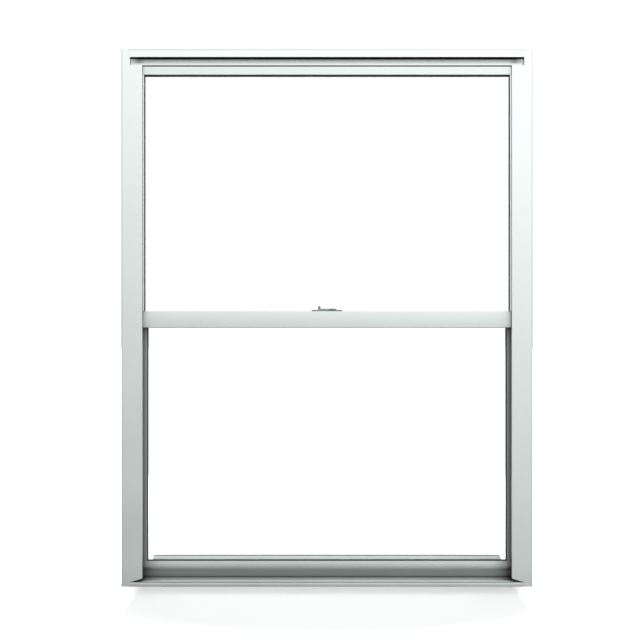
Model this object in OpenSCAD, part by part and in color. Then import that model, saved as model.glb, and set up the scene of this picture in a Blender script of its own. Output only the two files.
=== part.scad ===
// Aluminium single-hung sash window: fixed upper light, lower sash on two
// spiral balances, sweep lock on the meeting rail. Millimetres, +Z up,
// -Y is the weather side. X = 0 is the middle of the width, Z = 0 the
// underside of the sill, Y = 0 the middle of the overall depth.

/* [Overall] */
// Width over the face flanges
overall_w = 914; // [700:1:1400]
// Height from the sill's underside to the head flange's top
overall_h = 1196; // [950:1:1600]
// Width of the face flange that laps the wall at the head and jambs
flange_w = 17; // [10:0.5:25]
// Distance of the meeting rail's middle above the middle of the box
meeting_offset = 5; // [-30:1:60]

/* [Frame extrusions] */
// Wall thickness of the frame extrusions
wall = 1.6; // [1.2:0.1:2.4]
// Width of the jamb face inside the flange
jamb_face_w = 29; // [26:0.5:40]
// Depth of the return behind the jamb face's inner edge
lip_return = 6; // [3:0.5:7]
// How far the head's face stands back behind the flange
head_recess = 9; // [6:0.5:9]
// Height of the head's recessed face, from the top of the box
head_face_h = 19; // [14:0.5:26]
// Depth of the head's leg on the room side
head_leg_h = 29; // [22:1:40]
// Height of the sill's front lip
sill_lip_h = 9.2; // [8:0.1:12]
// Height of the dark drain gap between the lip and the sloped ledge
drain_gap = 1.5; // [1:0.1:2.5]
// Height of the sill's flat seat under the sash
sill_seat_z = 16.5; // [15:0.5:24]
// Height of the sill's upstand on the room side
sill_dam_h = 34; // [28:1:38]
// Height of the fixed meeting rail
meeting_h = 36; // [34:1:50]

/* [Glazing] */
// Thickness of one pane of glass
pane_t = 3; // [3:0.5:5]
// Space between the two panes of an insulating unit
air_gap = 6; // [6:1:12]
// Depth of the outside glazing bead of the fixed light
bead_depth = 10; // [9.5:0.5:13]
// Width of the side beads that shows beside the jamb face
side_bead_show = 3.9; // [3.6:0.1:8]
// Height of the head bead
top_bead_h = 21.3; // [16:0.1:28]
// Width of black gasket that shows around the fixed light
gasket_show = 3.6; // [2:0.1:5]
// Width of black gasket that shows around the sash glass
sash_gasket_show = 3.3; // [1.5:0.1:4]

/* [Sash] */
// Wall thickness of the sash extrusions
sash_wall = 1.4; // [1.2:0.1:1.8]
// Width of the sash stiles
stile_w = 32.5; // [31:0.5:40]
// Height of the sash bottom rail over its outside leg
bottom_rail_h = 32.5; // [32:0.5:44]
// Height of the sash top rail over its outside leg
top_rail_h = 32.5; // [31:0.5:36]
// Reach of the lift rail into the room, from the sash's room face
lift_reach = 14; // [12:0.5:20]
// Length of the lift rail, as a trim back from each stile's inner edge
lift_trim = 9.5; // [6:0.5:40]
// Height of the lift rail's upturned lip
lift_lip_h = 24; // [18:0.5:30]
// Room left above the raised sash for the stops and hangers
travel_reserve = 37.5; // [36:0.5:80]

/* [Lock] */
// Length of the lock's base plate
lock_l = 69; // [60:1:90]
// Depth of the lock's base plate
lock_d = 19; // [16:0.5:21]
// Thickness of the lock's base plate
lock_t = 2.9; // [2.4:0.1:4]
// Length of the lever from its pivot to the end of its finger tab
lever_l = 33; // [26:0.5:40]
// Thickness of the lever
lever_t = 2.2; // [1.8:0.1:3]
// Height of the finger tab above the lever
tab_h = 5.8; // [4:0.1:9]

/* [Balance] */
// Outer diameter of the balance tube
tube_d = 10; // [9.5:0.1:11]
// Length of one turn of the twisted rod
rod_pitch = 80; // [60:1:120]
// Width of the twisted rod
rod_w = 6; // [5:0.1:6]
// Thickness of the twisted rod
rod_t = 1.5; // [1.2:0.1:2]

/* [Hidden] */

$fn = 48;

// Clearances
joint_gap = 0.15;      // between butted extrusions
cope_gap = 0.3;        // where one extrusion is cut back around another
run_gap = 0.3;         // between parts that slide or turn past each other
pin_gap = 0.05;        // radial, between a pin and its bore

// Width: u is the distance inward from the outside of the box
box_w = overall_w - 2 * flange_w;
box_half = box_w / 2;
lip_u = jamb_face_w;
web_clear = 2.4;                        // jamb web to sash stile
stile_u0 = wall + web_clear;
stile_u1 = stile_u0 + stile_w;
stile_floor_u = stile_u0 + 15;          // bottom of the stile's balance channel
sight_x = box_half - stile_u1;          // half width of the sash's daylight
balance_u = stile_u0 + 6.5;             // middle of the balance tube

// Depth: 0 is the weather face of the flange
unit_t = 2 * pane_t + air_gap;
front_gasket_t = 2;
tape_t = 1.4;
fixed_d0 = bead_depth + front_gasket_t; // fixed light's outside surface
fixed_d1 = fixed_d0 + unit_t;
parting_d0 = fixed_d1 + tape_t;
parting_d1 = parting_d0 + wall;
hook_room = 5;                          // space for the interlock
sash_d0 = parting_d1 + hook_room;
sash_gasket_t = 1.6;
sash_tape_t = 1;
sash_glass_d0 = sash_d0 + sash_wall + sash_gasket_t;
sash_glass_d1 = sash_glass_d0 + unit_t;
sash_bead_depth = 9;
sash_bead_d0 = sash_glass_d1 + sash_tape_t;
sash_d1 = sash_bead_d0 + sash_bead_depth;
guide_room = 3.4;                       // sash to the jamb's room-side leg
room_d0 = sash_d1 + guide_room;
frame_depth = room_d0 + wall;
balance_d = (sash_d0 + sash_d1) / 2;
overall_depth = max(frame_depth, sash_d1 + lift_reach);

// Height
box_top = overall_h - flange_w;
head_face_z = box_top - head_face_h;
head_leg_z = box_top - head_leg_h;
top_bead_z = head_face_z - top_bead_h;
fixed_sight_z = top_bead_z - gasket_show - 0.7;
head_part_z = fixed_sight_z + 3.4;      // lower end of the head's glazing leg
meet_z0 = box_top / 2 + meeting_offset - meeting_h / 2;
meet_z1 = meet_z0 + meeting_h;
sash_lift_gap = 3.5;                    // sill seat to the bottom rail
sash_z0 = sill_seat_z + sash_lift_gap;
sash_z1 = meet_z1;
sash_sight_z0 = sash_z0 + bottom_rail_h;
sash_sight_z1 = sash_z1 - top_rail_h;
shelf_drop = 13.5;                      // glazing shelf below the sight line
bottom_shelf_z = sash_sight_z0 - shelf_drop;
top_shelf_z = sash_sight_z1 + shelf_drop;
sash_travel = head_leg_z - sash_z1 - travel_reserve;

// The jambs' parting legs, relieved behind the meeting rail
parting_runs = [
    [sill_seat_z + cope_gap, meet_z0 + meeting_h * 0.35],
    [meet_z0 + meeting_h * 0.65, head_part_z - cope_gap],
];

// Glass
glass_bite = 10;                        // glass behind the sight line
spacer_w = 9.3;                         // spacer and edge seal
setting_block_l = 80;
setting_block_x = box_w / 4 - 10;
fixed_glass_x = box_half - lip_u + 9;
fixed_glass_z0 = meet_z1 - 10.5;
fixed_glass_z1 = fixed_sight_z + 10.6;
fixed_shelf_z = fixed_glass_z0 - 4;
fixed_bead_x = box_half - lip_u - side_bead_show;
sash_glass_x = sight_x + glass_bite;
sash_glass_z0 = sash_sight_z0 - glass_bite;
sash_glass_z1 = sash_sight_z1 + glass_bite;

// Screw ports and screws
port_r = 2;
port_outer_r = 3.4;
port_slot = 2.2;
port_sink = 2.6;                        // port axis to the wall that carries it
screw_r = 1.9;
screw_head_r = 3.2;
screw_head_t = 2;
screw_hole_r = 2.2;
frame_screw_l = 25;
sash_screw_l = 17;
anchor_r = 2.75;
anchor_d = sash_d0 + 5;
anchor_z = [172, 0.35 * overall_h, 0.65 * overall_h, overall_h - 168];

fixed_port_d = (head_recess + wall + parting_d0) / 2;
head_groove_h = 3.4;
groove_z = box_top - wall - head_groove_h;
head_ports = [
    [fixed_port_d, box_top - wall - port_sink],
    [balance_d, box_top - wall - port_sink],
];
sill_ports = [
    [fixed_port_d, wall + port_sink],
    [balance_d, wall + port_sink],
];
meet_front_d = lip_return + 1;
meet_ports = [
    [meet_front_d + wall + port_outer_r + 1, meet_z0 + wall + port_sink],
    [parting_d0 - port_outer_r - 1.3, fixed_shelf_z - wall - port_sink],
];
top_rail_ports = [
    [sash_d0 + 5.5, top_shelf_z + sash_wall + port_sink],
    [sash_d1 - 5.5, top_shelf_z + sash_wall + port_sink],
];
rail_setback = 3.4;                     // bottom rail's lower face
bottom_rail_ports = [
    [sash_d0 + rail_setback + 5.5, sash_z0 + sash_wall + port_sink],
    [sash_d1 - 5, sash_z0 + sash_wall + port_sink],
];
seal_d = (bottom_rail_ports[0][0] + bottom_rail_ports[1][0]) / 2;

// Sill
ledge_d0 = wall + 1;
ledge_d1 = sash_d0 + 1;
ledge_z0 = sill_lip_h + drain_gap;
jamb_strip_z0 = 19;
jamb_toe_z0 = sill_lip_h + 1.7;
jamb_toe_u = 6;
bead_reveal = 2;
side_gasket_show = 2.4;
top_gasket_extra = 1.3;
rail_drip_h = 2.6;
lip_leg_d = 8;
lip_leg_top = ledge_z0 + wall / 2 + (sill_seat_z - ledge_z0 - wall)
    * (lip_leg_d + wall - ledge_d0) / (ledge_d1 - ledge_d0);

// Interlock
hook_t = 1.2;
hook_shelf_z = meet_z1 - 12.5;
hook_rise = 8;
hook_leg_d = sash_d0 - 1 - hook_t;
down_leg_d = parting_d1 + 1;
down_leg_h = 9.5;

// Pile
pile_u = stile_u0 + 5.5;
pile_slot_w = 5.2;
pile_mouth_w = 3;
pile_seat_t = 3;

// Lock
pivot_x = 12.8;
pivot_d = (parting_d0 + sash_d1 - sash_wall) / 2 - 0.6;
cam_tip = pivot_d - parting_d0 - 0.2;
cam_t = 3;
cam_z = top_rail_ports[0][1] + port_outer_r + 1.6;
cam_w = 8;
cam_slot = [pivot_x - 7, pivot_x + 19];
spindle_r = 2.5;
lever_z = sash_z1 + lock_t + 0.6;
lock_screw_x = lock_l / 2 - 6.5;

// Balance
tube_r = tube_d / 2;
tube_bore_r = tube_r - 0.6;
tube_z0 = sash_z1 - 24;
tube_z1 = box_top - 17;
tube_end_t = 1.6;
plug_h = 16;
nut_h = 9;
nut_z0 = tube_z0 + tube_end_t + run_gap;
nut_r = tube_bore_r - run_gap;
rod_z0 = sash_z0 + 5;
rod_z1 = nut_z0 + nut_h + 40;
rod_slices_per_turn = 20;
rod_outline_points = 8;
spring_r0 = 3.3;
spring_r1 = tube_bore_r - run_gap;
bracket_z = sash_z0 + 10;
bracket_t = 1.4;
bracket_holes = [5, bottom_shelf_z - bracket_z + 8];
bracket_h = bracket_holes[1] + 8;
hanger_z = tube_z1 - plug_h / 2;
stop_z0 = sash_z1 + sash_travel + cope_gap;
stop_h = 14;

// ---------------------------------------------------------------- helpers

// A rectangle given by its limits
module slab(x0, x1, y0, y1) {
    translate([x0, y0]) square([x1 - x0, y1 - y0]);
}

// Moves depths measured from the weather face into the part's own frame
module placed() {
    translate([0, -overall_depth / 2, 0]) children();
}

// Extrudes a (depth, height) section along X, between two X values
module along_x(x0, x1) {
    placed() translate([x0, 0, 0]) rotate([90, 0, 90])
        linear_extrude(height = x1 - x0) children();
}

// The same, centred on the window
module across(half) {
    along_x(-half, half) children();
}

// Extrudes a (u, depth) section of the left side upwards
module upright(z0, z1) {
    placed() translate([-box_half, 0, z0])
        linear_extrude(height = z1 - z0) children();
}

// Draws the left side's part, or its mirror on the right
module on_side(side) {
    if (side == "left") children();
    else mirror([1, 0, 0]) children();
}

// A screw port: a slotted ring along an extrusion. turn is the slot's angle.
module port(at, turn) {
    translate(at) difference() {
        circle(r = port_outer_r);
        circle(r = port_r);
        rotate(turn) translate([0, -port_slot / 2])
            square([port_outer_r + 1, port_slot]);
    }
}

// A screw of the left side, along +X from the underside of its head
module screw(u, d, z, length, r = screw_r) {
    placed() translate([-box_half + u, d, z]) rotate([0, 90, 0]) union() {
        translate([0, 0, -screw_head_t]) difference() {
            cylinder(r = screw_head_r, h = screw_head_t);
            translate([-screw_head_r, -0.4, -0.1])
                cube([2 * screw_head_r, 0.8, 0.8]);
            translate([-0.4, -screw_head_r, -0.1])
                cube([0.8, 2 * screw_head_r, 0.8]);
        }
        cylinder(r = r, h = length);
    }
}

// A hole through an upright wall of the left side
module cross_hole(u0, u1, d, z, r) {
    placed() translate([-box_half + u0, d, z]) rotate([0, 90, 0])
        cylinder(r = r, h = u1 - u0);
}

// A block given by its limits; depths from the weather face
module block(x, d, z) {
    placed() translate([x[0], d[0], z[0]])
        cube([x[1] - x[0], d[1] - d[0], z[1] - z[0]]);
}

// A flat picture-frame: outside limits and the four widths of its sides
module ring(x, z, d, left, right, bottom, top) {
    difference() {
        block(x, d, z);
        block([x[0] + left, x[1] - right], [d[0] - 1, d[1] + 1],
              [z[0] + bottom, z[1] - top]);
    }
}

// ------------------------------------------------------------------ frame

module head() {
    color("lightgray") union() {
        along_x(-box_half + joint_gap, box_half - joint_gap)
            slab(0, wall, box_top, overall_h);
        across(box_half - wall - joint_gap) union() {
            slab(0, frame_depth, box_top - wall, box_top);
            slab(head_recess, head_recess + wall, head_face_z, groove_z);
            slab(head_recess, fixed_port_d - port_r - 0.2, groove_z - wall,
                 groove_z);
            slab(parting_d0, parting_d1, head_part_z, box_top);
            slab(room_d0, frame_depth, head_leg_z, box_top);
            for (p = head_ports) port(p, -90);
        }
    }
}

module sill() {
    color("lightgray") across(box_half - wall - joint_gap) union() {
        slab(0, wall, 0, sill_lip_h);
        slab(0, frame_depth, 0, wall);
        polygon([
            [ledge_d0, ledge_z0], [ledge_d1, sill_seat_z - wall],
            [frame_depth - wall / 2, sill_seat_z - wall],
            [frame_depth - wall / 2, sill_seat_z],
            [ledge_d1, sill_seat_z], [ledge_d0, ledge_z0 + wall],
        ]);
        slab(lip_leg_d, lip_leg_d + wall, wall / 2, lip_leg_top);
        slab(ledge_d1 + 1, ledge_d1 + 1 + wall, wall / 2,
             sill_seat_z - wall / 2);
        slab(room_d0, frame_depth, 0, sill_dam_h);
        for (p = sill_ports) port(p, 90);
    }
}

// The left jamb; its face and legs are coped around the head and sill
module jamb() {
    color("lightgray") difference() {
        union() {
            upright(0, overall_h) slab(-flange_w, 0, 0, wall);
            upright(0, box_top) union() {
                slab(-flange_w, wall, 0, wall);
                slab(0, wall, 0, frame_depth);
            }
            upright(jamb_strip_z0, head_face_z - cope_gap)
                slab(lip_u - wall, lip_u, 0, lip_return);
            placed() translate([-box_half, wall, 0]) rotate([90, 0, 0])
                linear_extrude(height = wall) polygon([
                    [0, jamb_toe_z0], [jamb_toe_u, jamb_toe_z0],
                    [lip_u, jamb_strip_z0 - 1],
                    [lip_u, head_face_z - cope_gap],
                    [0, head_face_z - cope_gap],
                ]);
            for (z = parting_runs) upright(z[0], z[1])
                slab(0, lip_u - 1, parting_d0, parting_d1);
            upright(sill_dam_h + cope_gap, head_leg_z - cope_gap) union() {
                slab(0, lip_u - 5, room_d0, frame_depth);
                slab(lip_u - 5 - wall, lip_u - 5, room_d0 - 2, frame_depth);
            }
        }
        for (p = meet_ports)
            cross_hole(-1, wall + 1, p[0], p[1], screw_hole_r);
        for (z = anchor_z) cross_hole(-1, wall + 1, anchor_d, z, anchor_r);
        for (p = concat(sill_ports, head_ports))
            cross_hole(-1, wall + 1, p[0], p[1], screw_hole_r);
        cross_hole(-1, wall + 1, balance_d, hanger_z, screw_hole_r);
        cross_hole(-1, wall + 1, anchor_d, stop_z0 + stop_h / 2, screw_hole_r);
    }
}

module fixed_meeting_rail() {
    notch_x = box_half - lip_u + 1 - cope_gap;
    color("lightgray") difference() {
        across(box_half - wall - joint_gap) union() {
            slab(meet_front_d, meet_front_d + wall, meet_z0, meet_z1);
            slab(meet_front_d, parting_d1, meet_z0, meet_z0 + wall);
            slab(meet_front_d, parting_d1, fixed_shelf_z - wall,
                 fixed_shelf_z);
            slab(parting_d0, parting_d1, meet_z0, meet_z1);
            slab(parting_d1 - 0.2, hook_leg_d + hook_t, hook_shelf_z,
                 hook_shelf_z + hook_t);
            slab(hook_leg_d, hook_leg_d + hook_t, hook_shelf_z,
                 hook_shelf_z + hook_rise);
            port(meet_ports[0], 90);
            port(meet_ports[1], -90);
        }
        for (s = [-1, 1]) placed()
            translate([s * notch_x - (s < 0 ? 100 : 0),
                       parting_d0 - cope_gap, meet_z0 - 1])
            cube([100, hook_room + 10, meeting_h + 2]);
        for (s = [-1, 1]) placed()
            translate([s * (sight_x - 1) - (s < 0 ? 100 : 0),
                       parting_d1, meet_z0 - 1])
            cube([100, hook_room + 10, meeting_h + 2]);
        block(cam_slot, [parting_d0 - 1, sash_d0],
              [cam_z - 1, cam_z + cam_t + 1]);
    }
}

module frame_screws() {
    color("silver") for (side = ["left", "right"]) on_side(side)
        for (p = concat(head_ports, sill_ports, meet_ports))
            screw(0, p[0], p[1], frame_screw_l);
}

// ------------------------------------------------------------ fixed light

module pane(half, d0, z0, z1) {
    color([0.8, 0.92, 0.9, 0.35]) block([-half, half], [d0, d0 + pane_t],
                                        [z0, z1]);
}

module fixed_spacer() {
    color([0.16, 0.17, 0.17]) ring(
        [-fixed_glass_x, fixed_glass_x], [fixed_glass_z0, fixed_glass_z1],
        [fixed_d0 + pane_t, fixed_d1 - pane_t],
        spacer_w, spacer_w, spacer_w, spacer_w);
}

// The head bead: a face, a foot on the gasket and a hook behind the head
module fixed_bead_top() {
    t = 1.4;
    face_d = 3;
    hook_d = head_recess + wall + 0.4;
    color("lightgray") across(box_half - lip_u - cope_gap) union() {
        slab(face_d, face_d + t, top_bead_z, head_face_z - bead_reveal);
        slab(face_d, bead_depth, top_bead_z, top_bead_z + t);
        slab(bead_depth - t, bead_depth, top_bead_z, top_bead_z + 6);
        slab(face_d, hook_d + t, head_face_z - bead_reveal - t,
             head_face_z - bead_reveal);
        slab(hook_d, hook_d + t, head_face_z - bead_reveal - t,
             head_face_z + 3.5);
    }
}

// The left side bead: a nose beside the jamb's lip and a foot behind it
module fixed_bead_side() {
    t = 1.4;
    face_d = 2.2;
    u0 = lip_u + cope_gap;
    u1 = lip_u + side_bead_show;
    color("lightgray") upright(meet_z1 + cope_gap, top_bead_z - cope_gap)
        union() {
            slab(u0, u1, face_d, face_d + t);
            slab(u1 - t, u1, face_d, bead_depth);
            slab(u0, u0 + t, face_d, bead_depth);
            slab(u0 - 6, u1, bead_depth - t, bead_depth);
        }
}

module fixed_front_gasket() {
    inner = fixed_bead_x - side_gasket_show;
    outer = fixed_bead_x + side_bead_show;
    color([0.09, 0.1, 0.1]) ring(
        [-outer, outer], [meet_z1 - 8, top_bead_z + 5],
        [bead_depth, fixed_d0],
        outer - inner, outer - inner, 7, 5 + gasket_show);
}

module fixed_back_tape() {
    outer = fixed_glass_x;
    width = outer - (box_half - lip_u + 1);
    color([0.09, 0.1, 0.1]) ring(
        [-outer, outer], [fixed_glass_z0, fixed_glass_z1],
        [fixed_d1, parting_d0], width, width, 8, fixed_glass_z1
        - head_part_z);
}

module fixed_setting_blocks() {
    color([0.2, 0.2, 0.2]) for (s = [-1, 1])
        block([s * setting_block_x - setting_block_l / 2,
               s * setting_block_x + setting_block_l / 2],
              [fixed_d0, fixed_d1], [fixed_shelf_z, fixed_glass_z0]);
}

module interlock_seal() {
    color([0.35, 0.35, 0.35]) across(sight_x - 2) union() {
        slab(parting_d1 + run_gap, hook_leg_d - run_gap,
             hook_shelf_z + hook_t, hook_shelf_z + hook_t + 0.9);
    }
}

// ---------------------------------------------------------------- balance

module at_balance(side, z) {
    s = side == "left" ? -1 : 1;
    placed() translate([s * (box_half - balance_u), balance_d, z])
        children();
}

module balance_tube(side) {
    color("white") at_balance(side, tube_z0) difference() {
        cylinder(r = tube_r, h = tube_z1 - tube_z0);
        translate([0, 0, tube_end_t])
            cylinder(r = tube_bore_r, h = tube_z1 - tube_z0);
        translate([0, 0, -1]) cylinder(r = spring_r0 + 0.1, h = 10);
        translate([0, 0, hanger_z - tube_z0]) rotate([0, 90, 0])
            cylinder(r = screw_hole_r, h = 2 * tube_r + 2, center = true);
    }
}

module balance_plugs() {
    color("white") for (side = ["left", "right"])
        at_balance(side, tube_z1 - plug_h) difference() {
            cylinder(r = tube_bore_r - pin_gap, h = plug_h);
            translate([0, 0, plug_h / 2]) rotate([0, 90, 0])
                cylinder(r = screw_hole_r, h = 2 * tube_r, center = true);
        }
}

// The torsion spring, close wound, so its turns form a sleeve
module balance_spring(side) {
    z0 = nut_z0 + nut_h + run_gap;
    color("dimgray") at_balance(side, z0) difference() {
        cylinder(r = spring_r1, h = tube_z1 - plug_h - run_gap - z0);
        translate([0, 0, -1]) cylinder(r = spring_r0, h = tube_z1);
    }
}

// The twisted strip between two heights; grow widens it for a slot
module twisted(z0, z1, grow) {
    turn = 360 * (z1 - z0) / rod_pitch;
    rotate([0, 0, -360 * (z0 - rod_z0) / rod_pitch])
        linear_extrude(height = z1 - z0, twist = turn,
                       slices = ceil(turn * rod_slices_per_turn / 360),
                       $fn = rod_outline_points)
        square([rod_w + 2 * grow, rod_t + 2 * grow], center = true);
}

module balance_rod(side) {
    pin_r = 1.2;
    color("dimgray") union() {
        at_balance(side, rod_z0) twisted(rod_z0, rod_z1, 0);
        at_balance(side, bracket_z - pin_r - cope_gap) rotate([90, 0, 0])
            cylinder(r = pin_r, h = 10, center = true);
    }
}

module drive_nut(side) {
    color("ivory") at_balance(side, nut_z0) difference() {
        cylinder(r = nut_r, h = nut_h);
        translate([0, 0, -rod_pitch / rod_slices_per_turn])
            twisted(nut_z0 - rod_pitch / rod_slices_per_turn,
                    nut_z0 + nut_h + rod_pitch / rod_slices_per_turn,
                    run_gap);
    }
}

module rod_bracket() {
    u1 = stile_floor_u;
    half_d = 6.5;
    color("silver") difference() {
        union() {
            upright(bracket_z, bracket_z + bracket_h)
                slab(u1 - bracket_t, u1, balance_d - half_d,
                     balance_d + half_d);
            upright(bracket_z, bracket_z + bracket_t)
                slab(stile_u0 + 1, u1, balance_d - half_d,
                     balance_d + half_d);
        }
        placed() translate([-box_half + balance_u, balance_d,
                            bracket_z - 1])
            cylinder(r = rod_w / 2 + 0.5, h = bracket_t + 2);
        for (z = bracket_holes)
            cross_hole(u1 - 5, u1 + 1, balance_d, bracket_z + z,
                       screw_hole_r);
    }
}

module bracket_screws() {
    color("silver") for (side = ["left", "right"]) on_side(side)
        for (z = bracket_holes)
            screw(stile_floor_u - bracket_t, balance_d, bracket_z + z, 5);
}

// Fixes the tube's top plug to the jamb; it is driven from the sash side
module outward_screw(u, d, z, length) {
    translate([-2 * (box_half - u), 0, 0]) mirror([1, 0, 0])
        screw(u, d, z, length);
}

module hanger_screws() {
    color("silver") for (side = ["left", "right"]) on_side(side)
        outward_screw(balance_u + tube_r, balance_d, hanger_z,
                      balance_u + tube_r + 4);
}

module travel_stop() {
    color("ivory") difference() {
        upright(stop_z0, stop_z0 + stop_h)
            slab(wall, stile_floor_u - 2, sash_d0 + 1, sash_d1 - 1);
        placed() translate([-box_half + balance_u, balance_d, stop_z0 - 1])
            cylinder(r = tube_r + run_gap, h = stop_h + 2);
        cross_hole(wall - 1, stile_floor_u, anchor_d,
                   stop_z0 + stop_h / 2, screw_hole_r);
    }
}

module stop_screws() {
    color("silver") for (side = ["left", "right"]) on_side(side)
        outward_screw(stile_floor_u - 2, anchor_d, stop_z0 + stop_h / 2,
                      stile_floor_u + 2);
}

// ------------------------------------------------------------------- sash

// A T-slot for a pile strip, in (u, depth); inward is +1 or -1 in depth
module pile_slot(d, inward) {
    mirrored = inward > 0 ? 0 : 1;
    translate([pile_u, d]) mirror([0, mirrored]) difference() {
        slab(-3.5, 3.5, 0, pile_seat_t);
        slab(-pile_slot_w / 2, pile_slot_w / 2, 1, pile_seat_t - 0.7);
        slab(-pile_mouth_w / 2, pile_mouth_w / 2, -1, 1.5);
    }
}

module stile_section() {
    difference() {
        union() {
            slab(stile_u0, stile_u1, sash_d0, sash_d0 + sash_wall);
            slab(stile_u0, stile_floor_u + 3, sash_d1 - sash_wall, sash_d1);
            slab(stile_floor_u, stile_floor_u + sash_wall, sash_d0,
                 sash_d1);
        }
        slab(pile_u - 3.4, pile_u + 3.4, sash_d0 - 1, sash_d1 + 1);
    }
    pile_slot(sash_d0, 1);
    pile_slot(sash_d1, -1);
}

module sash_stile() {
    color("lightgray") difference() {
        upright(sill_seat_z + cope_gap, sash_z1) stile_section();
        block([-box_half + stile_floor_u + sash_wall, -sight_x + 1],
              [sash_d0 - 1, sash_d0 + sash_wall + joint_gap],
              [-1, sash_sight_z0 + joint_gap]);
        for (p = concat(top_rail_ports, bottom_rail_ports))
            cross_hole(stile_floor_u - 1, stile_floor_u + sash_wall + 1,
                       p[0], p[1], screw_hole_r);
        for (z = bracket_holes)
            cross_hole(stile_floor_u - 1, stile_floor_u + sash_wall + 1,
                       balance_d, bracket_z + z, screw_hole_r);
    }
}

// Cuts a rail's ends back from the stiles' outside and room-side legs
module coped_rail(whole_face = false) {
    tube_half = box_half - stile_floor_u - sash_wall - joint_gap;
    room_half = box_half - stile_floor_u - 3 - joint_gap;
    difference() {
        across(tube_half) children();
        for (s = [-1, 1]) placed() {
            if (!whole_face) {
                translate([s * (sight_x - joint_gap) - (s < 0 ? 100 : 0),
                           parting_d0, 0])
                    cube([100, sash_d0 - parting_d0 + sash_wall + joint_gap,
                          overall_h]);
            }
            translate([s * room_half - (s < 0 ? 100 : 0),
                       sash_d1 - sash_wall - joint_gap, 0])
                cube([100, 40, overall_h]);
        }
    }
}

module sash_top_rail() {
    color("lightgray") difference() {
        coped_rail() union() {
            slab(down_leg_d, sash_d1, sash_z1 - sash_wall, sash_z1);
            slab(down_leg_d, down_leg_d + hook_t, sash_z1 - down_leg_h,
                 sash_z1);
            slab(sash_d0, sash_d0 + sash_wall, sash_sight_z1, sash_z1);
            slab(sash_d0, sash_d1, top_shelf_z, top_shelf_z + sash_wall);
            slab(sash_d1 - sash_wall, sash_d1, top_shelf_z, sash_z1);
            for (p = top_rail_ports) port(p, 90);
        }
        block(cam_slot, [parting_d0, sash_d0 + sash_wall + 1],
              [cam_z - 1, cam_z + cam_t + 1]);
        placed() translate([pivot_x, pivot_d, sash_z1 - 3])
            cylinder(r = spindle_r + 0.7, h = 5);
        for (s = [-1, 1]) placed()
            translate([s * lock_screw_x, pivot_d + 1, sash_z1 - 3])
            cylinder(r = screw_hole_r, h = 5);
    }
}

// One point of the bottom rail's face, which rolls back to its lower part
function rail_roll(t, extra) = [
    sash_d0 + extra + rail_setback * (1 - cos(180 * t)) / 2,
    sash_sight_z0 - 12 - 13 * t,
];

module bottom_rail_section() {
    roll_steps = 10;
    low_d = sash_d0 + rail_setback;
    roll_z1 = rail_roll(1, 0)[1];
    difference() {
        union() {
            slab(sash_d0, sash_d0 + sash_wall, sash_sight_z0 - 12,
                 sash_sight_z0);
            polygon(concat(
                [for (i = [0 : roll_steps]) rail_roll(i / roll_steps, 0)],
                [for (i = [roll_steps : -1 : 0])
                    rail_roll(i / roll_steps, sash_wall)]));
            slab(low_d, low_d + sash_wall, sash_z0 - rail_drip_h, roll_z1);
            slab(low_d, sash_d1, sash_z0, sash_z0 + sash_wall);
            slab(sash_d1 - sash_wall, sash_d1, sash_z0, bottom_shelf_z);
            slab(sash_d0, sash_d1, bottom_shelf_z - sash_wall,
                 bottom_shelf_z);
            for (p = bottom_rail_ports) port(p, 90);
        }
        slab(seal_d - 0.8, seal_d + 0.8, sash_z0 - 1,
             sash_z0 + sash_wall + 1);
    }
}

// The finger lift along the bottom rail, trimmed short of the stiles
module lift_rail() {
    half = sight_x - lift_trim;
    d1 = sash_d1 + lift_reach;
    z0 = bottom_shelf_z - 2;
    lip_z1 = z0 + lift_lip_h;
    corner = 6;
    union() {
        along_x(-half, half) slab(sash_d1 - 0.5, d1, z0, z0 + sash_wall);
        placed() translate([0, d1, 0]) rotate([90, 0, 0])
            linear_extrude(height = sash_wall) union() {
                slab(-half, half, z0, lip_z1 - corner);
                slab(-half + corner, half - corner, z0, lip_z1);
                for (s = [-1, 1])
                    translate([s * (half - corner), lip_z1 - corner])
                        circle(r = corner);
            }
    }
}

module sash_bottom_rail() {
    color("lightgray") union() {
        coped_rail(true) bottom_rail_section();
        lift_rail();
    }
}

module sash_spacer() {
    color([0.16, 0.17, 0.17]) ring(
        [-sash_glass_x, sash_glass_x], [sash_glass_z0, sash_glass_z1],
        [sash_glass_d0 + pane_t, sash_glass_d1 - pane_t],
        spacer_w, spacer_w, spacer_w, spacer_w);
}

// A snap-in bead in (across, depth): 0 is the sight line, outward is +
module bead_section() {
    t = 1.2;
    w = shelf_drop - 0.3;
    polygon([
        [0, sash_bead_d0], [0, sash_bead_d0 + 4], [4, sash_d1],
        [w, sash_d1], [w, sash_d1 - t], [4.5, sash_d1 - t],
        [t, sash_bead_d0 + 3.6], [t, sash_bead_d0 + t],
        [w - 4, sash_bead_d0 + t], [w - 4, sash_bead_d0],
    ]);
}

module sash_bead_flat(at_top) {
    z = at_top ? sash_sight_z1 : sash_sight_z0;
    half = box_half - stile_floor_u - 3 - cope_gap;
    color("gainsboro") placed() translate([-half, 0, z])
        rotate([90, 0, 90]) linear_extrude(height = 2 * half)
        mirror([0, at_top ? 0 : 1]) rotate(90) mirror([0, 1])
        bead_section();
}

module sash_bead_side() {
    color("gainsboro") upright(sash_sight_z0 + cope_gap,
                               sash_sight_z1 - cope_gap)
        translate([stile_u1, 0]) mirror([1, 0]) bead_section();
}

module sash_front_gasket() {
    outer = sight_x + 8;
    w = 8 + sash_gasket_show;
    color([0.09, 0.1, 0.1]) ring(
        [-outer, outer], [sash_sight_z0 - 8, sash_sight_z1 + 8],
        [sash_d0 + sash_wall, sash_glass_d0], w, w, w, w + top_gasket_extra);
}

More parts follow.
